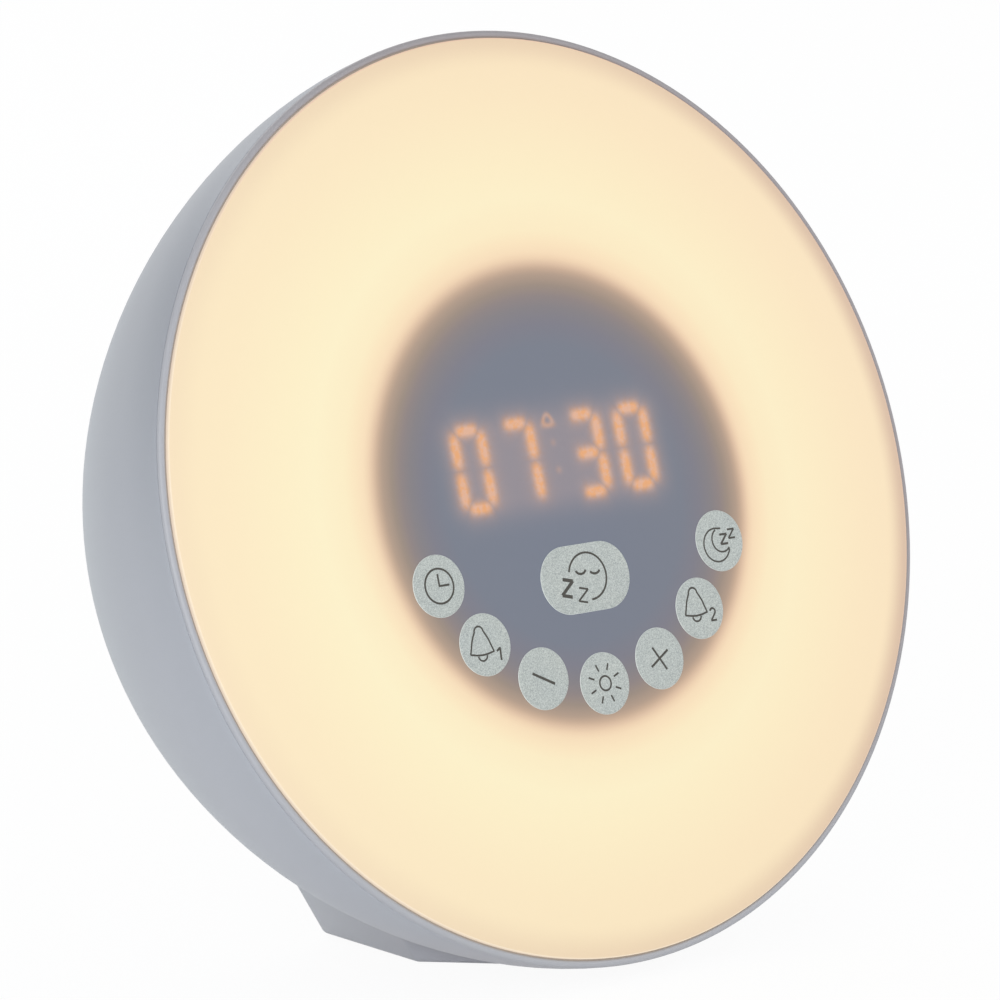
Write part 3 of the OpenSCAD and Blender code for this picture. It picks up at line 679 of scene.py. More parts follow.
def backCutters():
    deep, step = backZ + clock["wallT"] + 1, back["grilleStep"]
    holes = [(0, 0)] + [(ring * step * cos(2 * pi * k / (6 * ring)), ring * step * sin(2 * pi * k / (6 * ring)))
                        for ring in range(1, back["grilleRings"] + 1) for k in range(6 * ring)]
    first = bar("cutter", back["grilleHoleR"], outside, deep, sides=20)
    cutters = copiesAt(first, "cutter", [(x, y + back["speakerY"]) for x, y in holes])
    bores = [(back["wellBoreR"], x, y) for x, y in back["wells"]]
    bores += [(back["keyHoleR"], -back["portX"], 0), (back["inletHoleR"], back["portX"], 0)]
    return cutters + [bar("cutter", r, outside, deep, x, y, 40) for r, x, y in bores]


# Everything that the door and its hinge need from the back
def bayCutters():
    gap, hingeR, halfL = bay["gap"], bay["hingeR"], bay["barrelL"] / 2
    edge, top = bay["hingeY"] + hingeR, bay["doorTop"] + gap
    cutters = [boxPiece("cutter", bay["doorHalfX"] + gap, (top - edge) / 2, 1.6, outside,
                        backZ + bay["doorT"] + 0.2, 0, (top + edge) / 2, 5)]
    for side in (-1, 1):
        cutters.append(boxPiece("cutter", halfL + gap, hingeR + gap, 0.4, outside,
                                backZ + 2 * hingeR + 0.3, side * (bay["doorHalfX"] - halfL), bay["hingeY"]))
    cutters.append(boxPiece("cutter", bay["halfX"], bay["halfY"], 0.8, outside, -bay["front"], 0, bay["y"]))
    deselectAll()
    bpy.ops.mesh.primitive_uv_sphere_add(segments=32, ring_count=16, radius=bay["scoopR"] * 1.6,
                                         location=(0, bay["doorTop"], backZ - 8.3))
    cutters.append(newPiece("cutter"))
    bpy.ops.object.transform_apply(location=True, rotation=True, scale=True)
    return cutters


print("back")
plate = bar("plate", bowl["plateR"], backZ, backZ + clock["wallT"], sides=bowl["steps"])
bayBlock = boxPiece("bayBlock", bay["halfX"] + bay["wallT"], bay["halfY"] + bay["wallT"], 1.5,
                    backZ + clock["wallT"] - 0.4, -bay["front"] + bay["wallT"], 0, bay["y"])
applyModifier(plate, "BOOLEAN", operation="UNION", solver="EXACT", object=bayBlock)
bpy.data.objects.remove(bayBlock)
cutPiece(plate, *backCutters())
cutPiece(plate, *bayCutters())

# The outer side of the plate goes, so that its rim meets the bowl's, and the openings get round edges
editPiece(plate, "DESELECT")
mesh = bmesh.from_edit_mesh(plate.data)
for side in mesh.faces:
    middle = side.calc_center_median()
    side.select = hypot(middle.x, middle.y) > bowl["plateR"] - 0.4 and abs(side.normal.z) < 0.5
bmesh.update_edit_mesh(plate.data)
bpy.ops.mesh.delete(type="FACE")
mesh = bmesh.from_edit_mesh(plate.data)
for edge in mesh.edges:
    a, b = (corner.co for corner in edge.verts)
    onBack = abs(a.z + clock["backW"]) < 0.01 and abs(b.z + clock["backW"]) < 0.01
    edge.select = onBack and len(edge.link_faces) == 2 and edge.calc_face_angle() > radians(40)
bmesh.update_edit_mesh(plate.data)
bpy.ops.mesh.bevel(offset=back["holeEdge"], segments=2, affect="EDGES", clamp_overlap=True)
leaveEdit()
joinPieces(shell, plate)
editPiece(shell)
bpy.ops.mesh.remove_doubles(threshold=0.01)
leaveEdit()

# Tubes that lead the long screws in from the back, each with a floor for the screw's head
wellTop = backZ + clock["wallT"] + 0.1
tubeSection = [(back["wellBoreR"], wellTop), (back["wellR"], wellTop), (back["wellR"], -back["wellFront"]),
               (back["screwR"], -back["wellFront"]), (back["screwR"], -back["wellFloor"]),
               (back["wellBoreR"], -back["wellFloor"])]
firstTube = spinPiece("well_tube", tubeSection, 40, closed=True)
tubes = copiesAt(firstTube, "well_tube", back["wells"])
wellTubes = nameIt(joinPieces(*tubes), "screw_well_tubes")
finishPiece(wellTubes, satinShell)


# The foot widens upwards into the bowl, and its front corners are cut off at a slant
foot = {
    "width": 49.0, "length": 39.0, "slope": 0.63,   # sides widen upwards by slope
    "cut": 11.0, "cornerR": 1.5,
    "low": 0.3,             # stands this high, on its rubber pad
    "edgeR": 0.7,           # rounded lower edge
    "fillet": 3.2,          # how far the soft corner reaches up the bowl and down the foot
    "sideSteps": 12,
    "deepest": 60,          # behind this depth the bowl is taken to run straight on
}


# The foot's outline at a height, going round from the middle of the front
def footOutline(z, inset=0.0):
    r = max(foot["cornerR"] - inset, 0.5)
    x, y = foot["width"] / 2 + foot["slope"] * z - inset - r, foot["length"] / 2 - inset - r
    cut = foot["cut"] - inset * (2 - sqrt(2)) - r * (1 - tan(pi / 8))
    corners = [(x - cut, -y, -90, -45), (x, cut - y, -45, 0), (x, y, 0, 90),
               (-x, y, 90, 180), (-x, cut - y, 180, 225), (cut - x, -y, 225, 270)]
    points = []
    for k, (cornerX, cornerY, start, end) in enumerate(corners):
        points += roundCorner(cornerX, cornerY, r, start, end, (end - start) // 9)
        following = corners[(k + 1) % len(corners)]
        nextX, nextY = roundCorner(*following[:2], r, following[2], following[3], 1)[0]
        lastX, lastY = points[-1]
        count = foot["sideSteps"]
        points += [(lastX + (nextX - lastX) * j / count, lastY + (nextY - lastY) * j / count)
                   for j in range(1, count)]
    return points


tiltCos, tiltSin = cos(radians(clock["tilt"])), sin(radians(clock["tilt"]))


# How far a point of the clock lies outside the bowl, measured square to its axis. The turn into the
# flat back isn't in it, so the foot stands a little off the shell there.
def outsideBowl(x, y, z):
    dy, dz = y - clock["rimMiddle"][1], z - clock["rimMiddle"][2]
    w = dy * tiltCos - dz * tiltSin
    return hypot(x, dy * tiltSin + dz * tiltCos) - bowlR(min(max(w, 0), foot["deepest"]))


def bowlNormal(x, y, z):
    gap, here = 0.05, outsideBowl(x, y, z)
    return Vector((outsideBowl(x + gap, y, z) - here, outsideBowl(x, y + gap, z) - here,
                   outsideBowl(x, y, z + gap) - here)) / gap


def ontoBowl(point, lift=0.0):
    p = Vector(point)
    for _ in range(6):
        slope = bowlNormal(*p)
        p -= slope * ((outsideBowl(*p) - lift) / slope.length_squared)
    return p


# The foot's wall as rings of points, from its rounded lower edge up to a soft corner on the bowl
def footRings():
    ground, ceiling, edgeR = foot["low"], 30.0, foot["edgeR"]
    low, high, insets = footOutline(ground), footOutline(ceiling), footOutline(ground, edgeR)
    edge = [(edgeR * (1 - cos(a)), 1 - sin(a)) for a in (0, pi / 6, pi / 3, pi / 2)]
    columns = []
    for k, ((x0, y0), (x1, y1)) in enumerate(zip(low, high)):

        def wallAt(z):
            t = (z - ground) / (ceiling - ground)
            return x0 + (x1 - x0) * t, y0 + (y1 - y0) * t, z

        top, far = ground, ceiling
        for _ in range(30):  # where the wall meets the bowl
            z = (top + far) / 2
            top, far = (top, z) if outsideBowl(*wallAt(z)) < 0 else (z, far)
        reach = min(foot["fillet"], max(top - ground, 0.05) * 0.55)
        base = ground + min(edgeR, (top - ground) * 0.4)
        begin = max(top - reach, base)
        before, after = low[k - 1], low[(k + 1) % len(low)]
        outward = Vector((after[1] - before[1], before[0] - after[0], 0)).normalized()
        start, corner = Vector(wallAt(begin)), Vector(wallAt(top))
        end = ontoBowl(corner + outward * reach * 1.25)
        column = []
        for lift, share in edge:
            z = ground + lift * min(1, (base - ground) / edgeR)
            column.append(Vector(wallAt(z)).lerp(Vector((*insets[k], z)), share))
        column += [Vector(wallAt(base + (begin - base) * j / 6)) for j in range(1, 5)] + [start]
        for j in range(1, 10):
            t = j / 9
            column.append(start * (1 - t) ** 2 + corner * 2 * t * (1 - t) + end * t ** 2)
        column[-1] = ontoBowl(column[-1], -0.03)
        columns.append(column)
    return list(zip(*columns))


def selectCorners(piece, first, last):  # with the edges between them, in edit mode
    editPiece(piece, "DESELECT")
    mesh = bmesh.from_edit_mesh(piece.data)
    mesh.verts.ensure_lookup_table()
    for corner in mesh.verts[first:last]:
        corner.select = True
    for edge in mesh.edges:
        edge.select = all(corner.select for corner in edge.verts)
    bmesh.update_edit_mesh(piece.data)


print("foot")
rings = footRings()
count = len(rings[0])
footPiece = drawLine("foot", [tuple(p) for p in (*rings[0], rings[0][0])])
editPiece(footPiece)
bpy.ops.mesh.remove_doubles(threshold=0.0005)
leaveEdit()
for ring in rings[1:]:
    selectCorners(footPiece, -count, None)
    bpy.ops.mesh.extrude_edges_move()
    leaveEdit()
    for corner, p in zip(footPiece.data.vertices[-count:], ring):
        corner.co = p
selectCorners(footPiece, 0, count)
bpy.ops.mesh.edge_face_add()
faceOutwards()
finishPiece(footPiece, satinShell, angle=50, onFace=False)
finishPiece(shell, satinShell, replaces=["rear_shell"], angle=32)

# The rubber pad that the foot stands on, let into its underside
grip = {
    "inset": 2.5, "t": 1.1, "edgeR": 0.22, "grooves": 5, "grooveHalf": 15.5, "grooveW": 1.2,
    "grooveDeep": 0.2, "grooveStep": 5.5,
}

rubberPad = extrudeOutline("foot_rubber_pad", footOutline(0, grip["inset"]), 0, grip["t"])
bevelEdges(rubberPad, grip["edgeR"], 2, 60)
grooveR = grip["grooveW"] / 2
cutPiece(rubberPad, *[
    boxPiece("cutter", grip["grooveHalf"], grooveR, grooveR, -1, grip["grooveDeep"], 0,
             (k - (grip["grooves"] - 1) / 2) * grip["grooveStep"], 4) for k in range(grip["grooves"])])
finishPiece(rubberPad, rubber, replaces=["foot_grip"], onFace=False)


# The bezel ring, and the gasket that shows as a thin line between it and the lens; its pale warm grey is partly
# painted light, the lens's glow in the gap
print("bezel and lens")
bezel = {
    "lipR": 0.7, "innerR": 0.4, "backR": 0.1, "ledgeR": 79.5, "skirtR": 82.6, "seatW": 1.2,
    "gasketTop": -0.35,
}


def bezelSection():
    outer, inner = clock["rimR"], clock["rimR"] - clock["lipW"]
    back, stepR, stepW = -clock["bezelDepth"] + 0.08, clock["stepR"], clock["stepW"]
    a, b, c, skirtR = bezel["lipR"], bezel["innerR"], bezel["backR"], bezel["skirtR"]
    return ([(bezel["ledgeR"], -bezel["seatW"]), (inner, -bezel["seatW"])]
            + roundCorner(inner + b, -b, b, 180, 90, 4) + roundCorner(outer - a, -a, a, 90, 0, 6)
            + roundCorner(outer - c, back + c, c, 0, -90, 3)
            + [(stepR, back), (stepR, -stepW), (skirtR, -stepW), (skirtR, -8), (skirtR - 2, -8),
               (skirtR - 2, -2.8), (bezel["ledgeR"], -2.8)])


ring = spinPiece("bezel", bezelSection(), 192, closed=True)
finishPiece(ring, bezelPlastic, replaces=["bezel_ring"], angle=40)

# The lens domes gently, and rolls off to a rounded edge
lens = {
    "r": 83.45, "curveR": 83.65, "rise": 4.9, "edge": 0.2, "flat": 2.6, "roll": 0.6, "wall": 1.8,
    "edgeR": 0.25, "low": -1.15,
}


def lensHeight(r):
    flat = 1 - min(r / lens["curveR"], 1) ** lens["flat"]
    return lens["edge"] + (lens["rise"] - lens["edge"]) * flat ** lens["roll"]


def lensSection():
    rows, r, edgeR = 44, lens["r"], lens["edgeR"]
    outer = [(r - edgeR) * sin(pi / 2 * k / rows) for k in range(rows + 1)]
    front = [(at, lensHeight(at)) for at in outer]
    edge = roundCorner(r - edgeR, lensHeight(r - edgeR) - edgeR, edgeR, 78, 0, 4)
    inner = [(at * (r - 1.9) / (r - edgeR), lensHeight(at) - lens["wall"]) for at in reversed(outer[::4])]
    return front + edge + [(r, lens["low"]), (r - 1.9, lens["low"])] + inner


gasketR = clock["rimR"] - clock["lipW"]
gasket = spinPiece("lens_gasket", [(lens["r"] - 0.02, lens["low"]), (gasketR + 0.04, lens["low"]),
                                   (gasketR + 0.04, bezel["gasketTop"] + 0.05),
                                   ((gasketR + lens["r"]) / 2, bezel["gasketTop"]),
                                   (lens["r"] - 0.02, bezel["gasketTop"] + 0.05)], 192, closed=True)
finishPiece(gasket, gasketRubber, angle=60)


glowingLens = spinPiece("opal_lens", lensSection(), 192)
finishPiece(glowingLens, opalLens, replaces=["front_lens"], angle=50)


print("pads")
pads = {
    "arcR": 35.4, "arcY": 0.36, "step": 22.5, "r": 5.6, "t": 0.5, "proud": 0.12, "edgeR": 0.11,
    "snoozeHalf": (10.2, 6.15), "snoozeY": -15.9, "snoozeX": 0.05,
    "iconProud": 0.035,
}


def ontoLens(piece):  # lets a flat piece follow the lens it lies on
    for corner in piece.data.vertices:
        corner.co.z += lensHeight(hypot(corner.co.x, corner.co.y))


def padSection(r):
    t, proud, edge = pads["t"], pads["proud"], pads["edgeR"]
    flat = [(r * k / 5, proud) for k in range(5)] + [(r - edge, proud)]
    return flat + roundCorner(r - edge, proud - edge, edge, 90, 0, 3)[1:] + [(r, proud - t), (0, proud - t)]


def padPlace(k):
    angle = radians(-90 + (k - 3) * pads["step"])
    return pads["arcR"] * cos(angle), pads["arcY"] + pads["arcR"] * sin(angle)


padNodes = ["clock_pad", "alarm_one_pad", "minus_pad", "light_pad", "plus_pad", "alarm_two_pad",
            "sleep_pad"]
roundPad = spinPiece("roundPad", padSection(pads["r"]), 64)
for k, node in enumerate(padNodes):
    pad = copyPiece(roundPad, node + "_disc")
    movePiece(pad, *padPlace(k))
    ontoLens(pad)
    finishPiece(pad, silver, replaces=[node])
bpy.data.objects.remove(roundPad)

snoozePad = boxPiece("snooze_pad_plate", *pads["snoozeHalf"], pads["snoozeHalf"][1] - 0.05,
                     pads["proud"] - pads["t"], pads["proud"], pads["snoozeX"], pads["snoozeY"], 14)
bevelEdges(snoozePad, pads["edgeR"], 3)
ontoLens(snoozePad)
finishPiece(snoozePad, silver, replaces=["snooze_pad"])


# Icons on the pads: thin printed lines, drawn as strokes in millimetres round each pad's middle
def arc(x, y, r, start, end, count=18, squash=1.0):
    angles = [radians(start + (end - start) * k / count) for k in range(count + 1)]
    return [(x + r * cos(a), y + r * squash * sin(a)) for a in angles]


def zed(x, y, w, h, turn=0.0):  # three strokes, so that each keeps its full thickness
    a = radians(turn)
    corners = [(-w / 2, h / 2), (w / 2, h / 2), (-w / 2, -h / 2), (w / 2, -h / 2)]
    topLeft, topRight, lowLeft, lowRight = [
        (x + px * cos(a) - py * sin(a), y + px * sin(a) + py * cos(a)) for px, py in corners]
    return [[topLeft, topRight], [topRight, lowLeft], [lowLeft, lowRight]]


def bell(x, y):
    side = [(1.0, 2.4), (1.42, 1.7), (1.84, 0.9), (2.25, -0.35), (2.62, -1.4)]
    right = [(x + px, y + py) for px, py in side]
    left = [(x - px, y + py) for px, py in reversed(side)]
    brim = [(x + px, y + py)
            for px, py in ((-2.68, -1.36), (-1.3, -1.64), (0, -1.76), (1.3, -1.64), (2.68, -1.36))]
    return [left + arc(x, y + 2.38, 1.0, 180, 0, 12)[1:-1] + right, brim,
            arc(x, y - 1.85, 0.98, 182, 358, 12, 0.95)]


def numeral(digit, x, y):
    if digit == 1:
        return [[(x - 0.75, y + 0.6), (x + 0.08, y + 1.1)], [(x + 0.05, y + 1.15), (x - 0.08, y - 1.1)]]
    return [arc(x, y + 0.5, 0.6, 165, -30, 12) + [(x - 0.6, y - 1.05)],
            [(x - 0.7, y - 1.1), (x + 0.7, y - 1.1)]]


def rays(count, first, inner, outer):
    angles = [radians(first + 360 * k / count) for k in range(count)]
    return [[(inner * cos(a), inner * sin(a)), (outer * cos(a), outer * sin(a))] for a in angles]


def turned(lines, angle):
    a = radians(angle)
    return [[(x * cos(a) - y * sin(a), x * sin(a) + y * cos(a)) for x, y in line] for line in lines]


# Each pad's icon: the thickness of its lines, then the lines
iconLines = {
    "clock_pad": [(0.38, [arc(0.1, 0, 3.1, 0, 360, 40), [(0.12, 2.15), (0.12, -0.18)],
                          [(-0.06, 0), (2.3, 0)]])],
    "alarm_one_pad": [(0.34, bell(-0.95, 0)), (0.42, numeral(1, 3.05, -2.05))],
    "minus_pad": [(0.50, turned([[(-2.6, 0), (2.6, 0)]], -28))],
    "light_pad": [(0.36, [arc(0.1, 0, 1.3, 0, 360, 24)] + rays(8, 22.5, 2.45, 3.75))],
    "plus_pad": [(0.44, turned([[(-2.55, 0), (2.55, 0)], [(0, -2.5), (0, 2.5)]], 31))],
    "alarm_two_pad": [(0.36, bell(-1.0, 0.5)), (0.38, numeral(2, 2.9, -1.46))],
    "sleep_pad": [(0.33, [[(0.75, 2.2), (-0.1, 2.26)] + arc(-0.82, -0.7, 3.05, 80, 342, 34),
                          arc(0.48, 0.12, 2.2, -44, -241, 24)]),
                  (0.42, zed(1.1, 0.2, 1.75, 1.75)), (0.36, zed(3.1, 1.0, 1.6, 1.6))],
}


def thickenLine(piece, radius):  # makes a drawn line a round wire
    pick(piece)
    bpy.ops.object.convert(target="CURVE")
    piece.data.bevel_depth = radius
    piece.data.bevel_resolution = 2
    piece.data.use_fill_caps = True
    bpy.ops.object.convert(target="MESH")


def strokePiece(name, groups):  # joins lines of several thicknesses into one flat printed shape
    strokes = []
    for thickness, lines in groups:
        for line in lines:
            stroke = drawLine("stroke", [(x, y, 0) for x, y in line])
            thickenLine(stroke, thickness / 2)
            editPiece(stroke)
            bpy.ops.transform.resize(value=(1, 1, pads["iconProud"] * 2 / thickness))
            leaveEdit()
            strokes.append(stroke)
    piece = nameIt(joinPieces(*strokes), name)
    editPiece(piece)
    faceOutwards()
    return piece


def iconOnPad(piece, x, y):
    movePiece(piece, x, y, pads["proud"])
    ontoLens(piece)
    finishPiece(piece, iconInk, angle=60)


print("icons")
for k, node in enumerate(padNodes):
    iconOnPad(strokePiece(node.replace("_pad", "_icon"), iconLines[node]), *padPlace(k))
snoozeLines = [
    (0.38, [arc(0.62, 0.25, 4.25, 164, -90, 44)]),
    (0.44, [arc(-0.75, 1.85, 1.25, 200, 335, 10, 0.85), arc(2.45, 1.4, 1.2, 205, 335, 10, 0.75)]),
    (0.64, zed(-4.45, -1.35, 2.3, 2.9, -14)),
    (0.36, zed(-1.15, -3.0, 2.0, 2.4, -14)),
]
iconOnPad(strokePiece("snooze_icon", snoozeLines), 0, pads["snoozeY"])


# The battery door, hinged on two barrels at its lower edge
print("door")
doorLook = {
    "cornerR": 1.2, "edgeR": 0.3, "grooves": 3, "grooveHalf": 7.0, "grooveW": 0.9, "grooveDeep": 0.4,
    "firstGroove": 4.55, "grooveStep": 2,
    "tongueW": 12.0, "tongueT": 0.9, "tongueDeep": 1.8, "pinL": 1.4,
}


def doorOutline():
    half, low, top = bay["doorHalfX"], bay["hingeY"], bay["doorTop"]
    inner, middleLow = half - bay["barrelL"], low + bay["hingeR"] + bay["swingGap"]
    r = doorLook["cornerR"]
    right = [(inner, middleLow), (inner, low), (half, low)] + roundCorner(half - r, top - r, r, 0, 90)
    return right + [(-x, y) for x, y in reversed(right)]


inside = backZ + bay["doorT"]
door = extrudeOutline("battery_door_panel", doorOutline(), backZ, inside)
bevelEdges(door, doorLook["edgeR"], 3, 60)
grooveHalfW = doorLook["grooveW"] / 2
cutPiece(door, *[
    boxPiece("cutter", doorLook["grooveHalf"], grooveHalfW, grooveHalfW - 0.02, outside,
             backZ + doorLook["grooveDeep"], 0,
             bay["doorTop"] - doorLook["firstGroove"] - doorLook["grooveStep"] * k, 4)
    for k in range(doorLook["grooves"])])
tongueTop = bay["y"] + bay["halfY"] - 0.5
tongue = boxPiece("tongue", doorLook["tongueW"] / 2, doorLook["tongueT"] / 2, 0.2, inside - 0.1,
                  inside + doorLook["tongueDeep"], 0, tongueTop - doorLook["tongueT"] / 2)
bevelEdges(tongue, 0.15, 2, 60)
doorParts = [tongue]
for x in (-12, 12):  # stiffening ribs on the inner side, between the cells
    for k in (0.5, -0.5):
        rib = boxPiece("rib", 9, 0.5, 0.4, inside - 0.1, inside + 0.35, x, bay["y"] + k * 10.5)
        bevelEdges(rib, 0.12, 2, 60)
        doorParts.append(rib)
halfL, hingeR, pinR = bay["barrelL"] / 2, bay["hingeR"], bay["pinR"]
pinEnd = halfL + doorLook["pinL"]
barrelSection = [(0, -halfL), (hingeR - 0.2, -halfL), (hingeR, -halfL + 0.2), (hingeR, halfL - 0.2),
                 (hingeR - 0.2, halfL), (pinR, halfL), (pinR, pinEnd - 0.2), (pinR - 0.2, pinEnd), (0, pinEnd)]
for side in (-1, 1):
    doorParts.append(movePiece(spinPiece("barrel", barrelSection, 32), side * (bay["doorHalfX"] - halfL),
                               bay["hingeY"], -bay["hingeW"], turn=(0, 90 * side, 0)))
joinPieces(door, *doorParts)
finishPiece(door, satinShell, body="door", replaces=["battery_door"])


def cornerBehind(*corner):  # a round corner of a section whose heights count backwards
    return [(r, -y) for r, y in roundCorner(*corner)]


# The sprung reset key, dished for a fingertip
print("key and socket")
key = {"r": 2.12, "top": 61.7, "base": 55.5, "flangeR": 3.4, "flange": (57.6, 59.55), "dish": 0.28}
keyR, base, flangeR, (near, far) = key["r"], -key["base"], key["flangeR"], key["flange"]
keySection = [(0, base), (keyR - 0.15, base), (keyR, base - 0.15), (keyR, -near), (flangeR - 0.1, -near),
              (flangeR, -near - 0.1), (flangeR, -far + 0.1), (flangeR - 0.1, -far), (keyR, -far)]
keySection += cornerBehind(keyR - 0.22, key["top"] - 0.22, 0.22, 0, 90, 4)
keySection += [(keyR * 0.8 * t, -key["top"] + key["dish"] * (1 - t * t)) for t in (1, 0.8, 0.6, 0.4, 0.2, 0)]
resetCap = movePiece(spinPiece("reset_key_cap", keySection, 48), -back["portX"])
finishPiece(resetCap, blackPlastic, body="key", replaces=["reset_key"])

# The power socket: a moulded block with a round nose, a metal sleeve and a centre pin
socket = {
    "noseR": 3.05, "top": 61.7, "boreR": 1.85, "boreEnd": 50.4, "block": 4.5, "blockEnds": (48.4, 59.6),
    "pinR": 0.65, "pinTop": 59.5, "rimR": 0.25, "sleeveT": 0.15,
}
block = boxPiece("power_socket", socket["block"], socket["block"], 0.4,
                 -socket["blockEnds"][1], -socket["blockEnds"][0])
bevelEdges(block, 0.2, 2, 60)
rimR, top, boreR, boreEnd = socket["rimR"], socket["top"], socket["boreR"], -socket["boreEnd"]
noseR, pinR, sleeveR = socket["noseR"], socket["pinR"], boreR + socket["sleeveT"]
cutPiece(block, bar("cutter", boreR + 0.1, -63, boreEnd, sides=48))
noseSection = ([(sleeveR, -59), (noseR, -59)] + cornerBehind(noseR - rimR, top - rimR, rimR, 0, 90, 4)
               + cornerBehind(boreR + 0.5, top - 0.35, 0.35, 90, 180, 4))
joinPieces(block, spinPiece("nose", noseSection, 48, closed=True))
finishPiece(movePiece(block, back["portX"]), blackPlastic, replaces=["power_inlet"])
sleeveSection = [(boreR, -top + 1.2), (sleeveR, -top + 1.2), (sleeveR, boreEnd), (boreR, boreEnd)]
sleeve = spinPiece("socket_sleeve", sleeveSection, 48, closed=True)
finishPiece(movePiece(sleeve, back["portX"]), nickel, angle=50)
pinSection = [(0, boreEnd + 0.1), (pinR, boreEnd + 0.1)]
pinSection += cornerBehind(0, socket["pinTop"] - pinR, pinR, 0, 90, 6)
centrePin = spinPiece("socket_centre_pin", pinSection, 32)
finishPiece(movePiece(centrePin, back["portX"]), nickel, angle=50)


# Three cells, laid head to tail between plates and coil springs
print("cells")
cell = {
    "r": 5.2, "bodyL": 43.6, "nubR": 1.9, "nubL": 0.9, "pitch": 10.5, "depth": 54.3, "endX": 23.6,
    "plate": 4.4, "plateT": 0.4, "springL": 3.7, "springR": (3.4, 2.1), "wireR": 0.32, "turns": 3.5,
}
r, length = cell["r"], cell["bodyL"]
sleeveSection = ([(r - 0.75, 0.12), (r - 0.6, 0.0)] + roundCorner(r - 0.3, 0.3, 0.3, -90, 0, 4)
                 + roundCorner(r - 0.3, length - 0.3, 0.3, 0, 90, 4) + [(r - 0.75, length - 0.12)])
capSection = [(0, 0.25), (2.2, 0.25), (2.6, 0.12), (r - 0.7, 0.12), (r - 0.35, 0.6),
              (r - 0.35, length - 0.7), (r - 0.7, length - 0.2), (3.2, length - 0.2),
              (2.9, length - 0.05), (cell["nubR"] + 0.1, length - 0.05)]
capSection += roundCorner(cell["nubR"] - 0.25, length + cell["nubL"] - 0.25, 0.25, 0, 90, 4)
capSection += [(0, length + cell["nubL"])]
firstSleeve = spinPiece("cellSleeve", sleeveSection, 48)
firstCan = spinPiece("cellCan", capSection, 48)
firstPlate = boxPiece("springPlate", cell["plate"], cell["plate"], 0.8, -cell["plateT"], 0)
helixSteps = 90
helix = []
for k in range(helixSteps + 1):
    t = k / helixSteps
    a, coilR = 2 * pi * cell["turns"] * t, cell["springR"][0] + (cell["springR"][1] - cell["springR"][0]) * t
    lift = cell["wireR"] + (cell["springL"] - 2 * cell["wireR"]) * t
    helix.append((coilR * cos(a), coilR * sin(a), lift))
coil = drawLine("coil", helix)
thickenLine(coil, cell["wireR"])
firstSpring = joinPieces(firstPlate, coil)
sleeves, cans, springs = [], [], []
for k in range(3):
    way = 1 if k % 2 == 0 else -1
    tail, plateX = way * (cell["endX"] - cell["nubL"] - length), -way * (bay["halfX"] - cell["plateT"])
    rows = (firstSleeve, sleeves, tail), (firstCan, cans, tail), (firstSpring, springs, plateX)
    for first, made, x in rows:
        made.append(movePiece(copyPiece(first, "cell"), x, bay["y"] + cell["pitch"] * (1 - k), -cell["depth"],
                              turn=(0, 90 * way, 0)))
for first in (firstSleeve, firstCan, firstSpring):
    bpy.data.objects.remove(first)
for made, name, material, slot, node in (
        (sleeves, "cell_sleeves", cellSleeve, "cell", ["battery_cells"]),
        (cans, "cell_cans", nickel, "contacts", []),
        (springs, "coil_springs", nickel, "contacts", ["battery_springs"])):
    piece = nameIt(joinPieces(*made), name)
    editPiece(piece)
    faceOutwards()
    finishPiece(piece, material, replaces=node, angle=45)


# The camera stands where the photograph was taken from, over a plain white floor
print("stage")
camera = {
    "place": (-756.08, -921.45, 306.70), "azimuth": 39.4325, "elevation": 10.7296, "lens": 241.23,
}
deselectAll()
bpy.ops.object.camera_add(location=Vector(camera["place"]) * mm,
                          rotation=(radians(90 - camera["elevation"]), 0, radians(-camera["azimuth"])))
eye = newPiece("camera")
eye.data.lens = camera["lens"]
eye.data.sensor_width = 36
eye.data.clip_start, eye.data.clip_end = 0.01, 50
bpy.context.scene.camera = eye

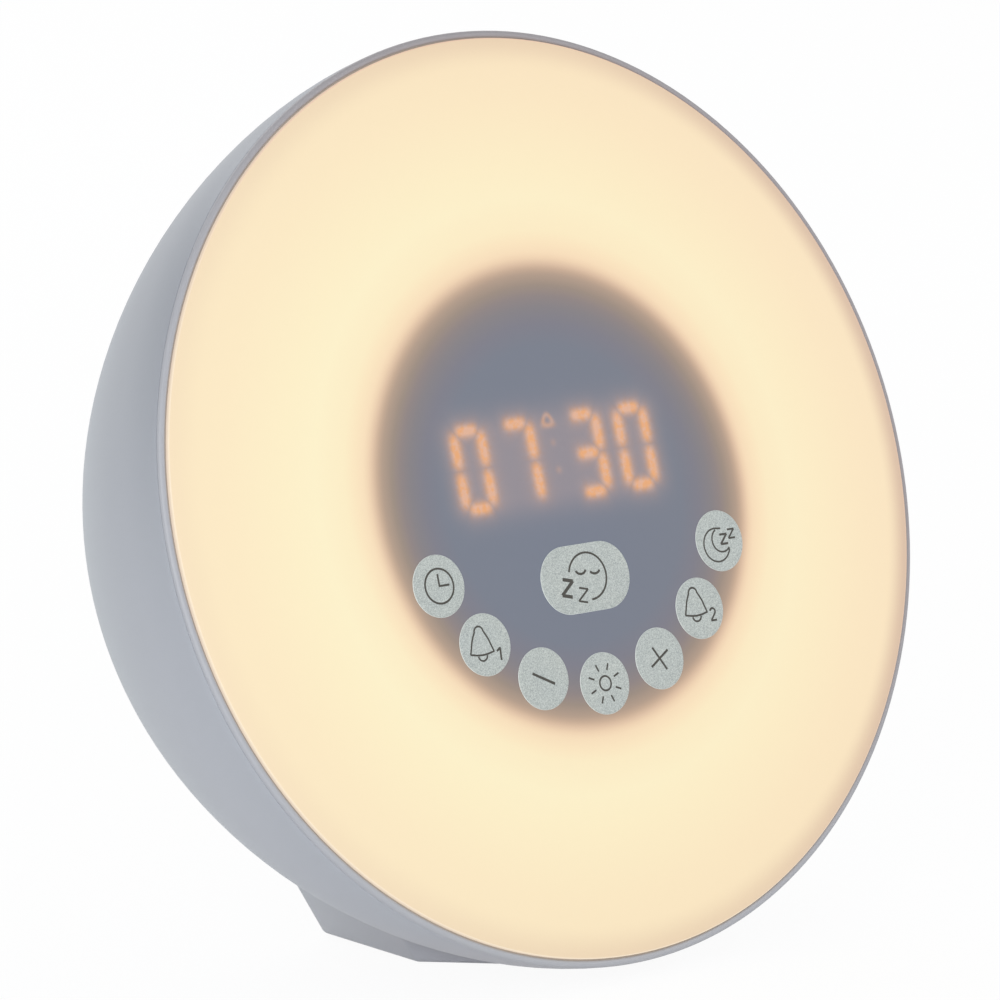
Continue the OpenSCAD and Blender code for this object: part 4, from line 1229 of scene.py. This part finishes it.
light = {
    "room": 0.66,           # plain light from all round
    "key": {"place": (-1.15, -0.9, 0.52), "size": 1.0, "watts": 8.2},
    "fill": {"place": (1.3, -0.9, 0.6), "size": 1.2, "watts": 3.4},
    "rear": {"place": (0.3, 1.4, 1.2), "size": 1.5, "watts": 8.0},
    "low": {"place": (-0.5, -1.0, 0.12), "size": 0.5, "watts": 3.0},
}
for name in ("key", "fill", "rear", "low"):
    lamp = light[name]
    at = Vector(lamp["place"])
    aim = (Vector((0, 0, 0.08 if at.z > 0.5 else 0.01)) - at).to_track_quat("-Z", "Y").to_euler()
    bpy.ops.object.light_add(type="AREA", location=at, rotation=aim)
    source = newPiece(name + "_softbox")
    source.data.shape = "DISK"
    source.data.size = lamp["size"]
    source.data.energy = lamp["watts"]


def addNode(tree, kind, *sources, **values):  # sources feed its first inputs
    made = tree.nodes.new("ShaderNode" + kind)
    for source, socket in zip(sources, made.inputs):
        tree.links.new(source, socket)
    for name, value in values.items():
        made.inputs[name].default_value = value
    return made


# White to the camera and to anything glossy, a gentler light to everything else
def whiteSeen(tree, plainShader, seenShader):
    path = addNode(tree, "LightPath")
    seen = path.outputs["Is Camera Ray"]
    for name in ("Is Glossy Ray", "Is Transmission Ray"):
        most = addNode(tree, "Math", seen, path.outputs[name])
        most.operation = "MAXIMUM"
        seen = most.outputs[0]
    return addNode(tree, "MixShader", seen, plainShader.outputs[0], seenShader.outputs[0])


world = bpy.data.worlds.new("room")
world.use_nodes = True
bpy.context.scene.world = world
plain = world.node_tree.nodes["Background"]
plain.inputs["Color"].default_value = (0.97, 0.985, 1.0, 1)
plain.inputs["Strength"].default_value = light["room"]
seen = addNode(world.node_tree, "Background", Color=(1, 1, 1, 1), Strength=1.0)
output = world.node_tree.nodes["World Output"]
world.node_tree.links.new(whiteSeen(world.node_tree, plain, seen).outputs[0], output.inputs["Surface"])

deselectAll()
bpy.ops.mesh.primitive_plane_add(size=14)
floor = newPiece("floor")
floorFinish = Finish("whiteFloor")
floorFinish.done(Base_Color=floorFinish.blend(floorFinish.noise(3), screenColour(246, 246, 247),
                                              screenColour(250, 250, 251)), Roughness=0.9)
tree, plain = floorFinish.material.node_tree, floorFinish.shader
white = addNode(tree, "Emission", Color=(1, 1, 1, 1), Strength=1.0)
pale = floorFinish.node("MixShader", in0=0.94,  # mostly white, with a faint shadow left in it
                        in1=plain.outputs[0], in2=white.outputs[0])
choice = whiteSeen(tree, plain, pale)
tree.links.new(choice.outputs[0], tree.nodes["Material Output"].inputs["Surface"])
floor.data.materials.append(floorFinish.material)

bpy.context.scene.view_settings.view_transform = "Standard"
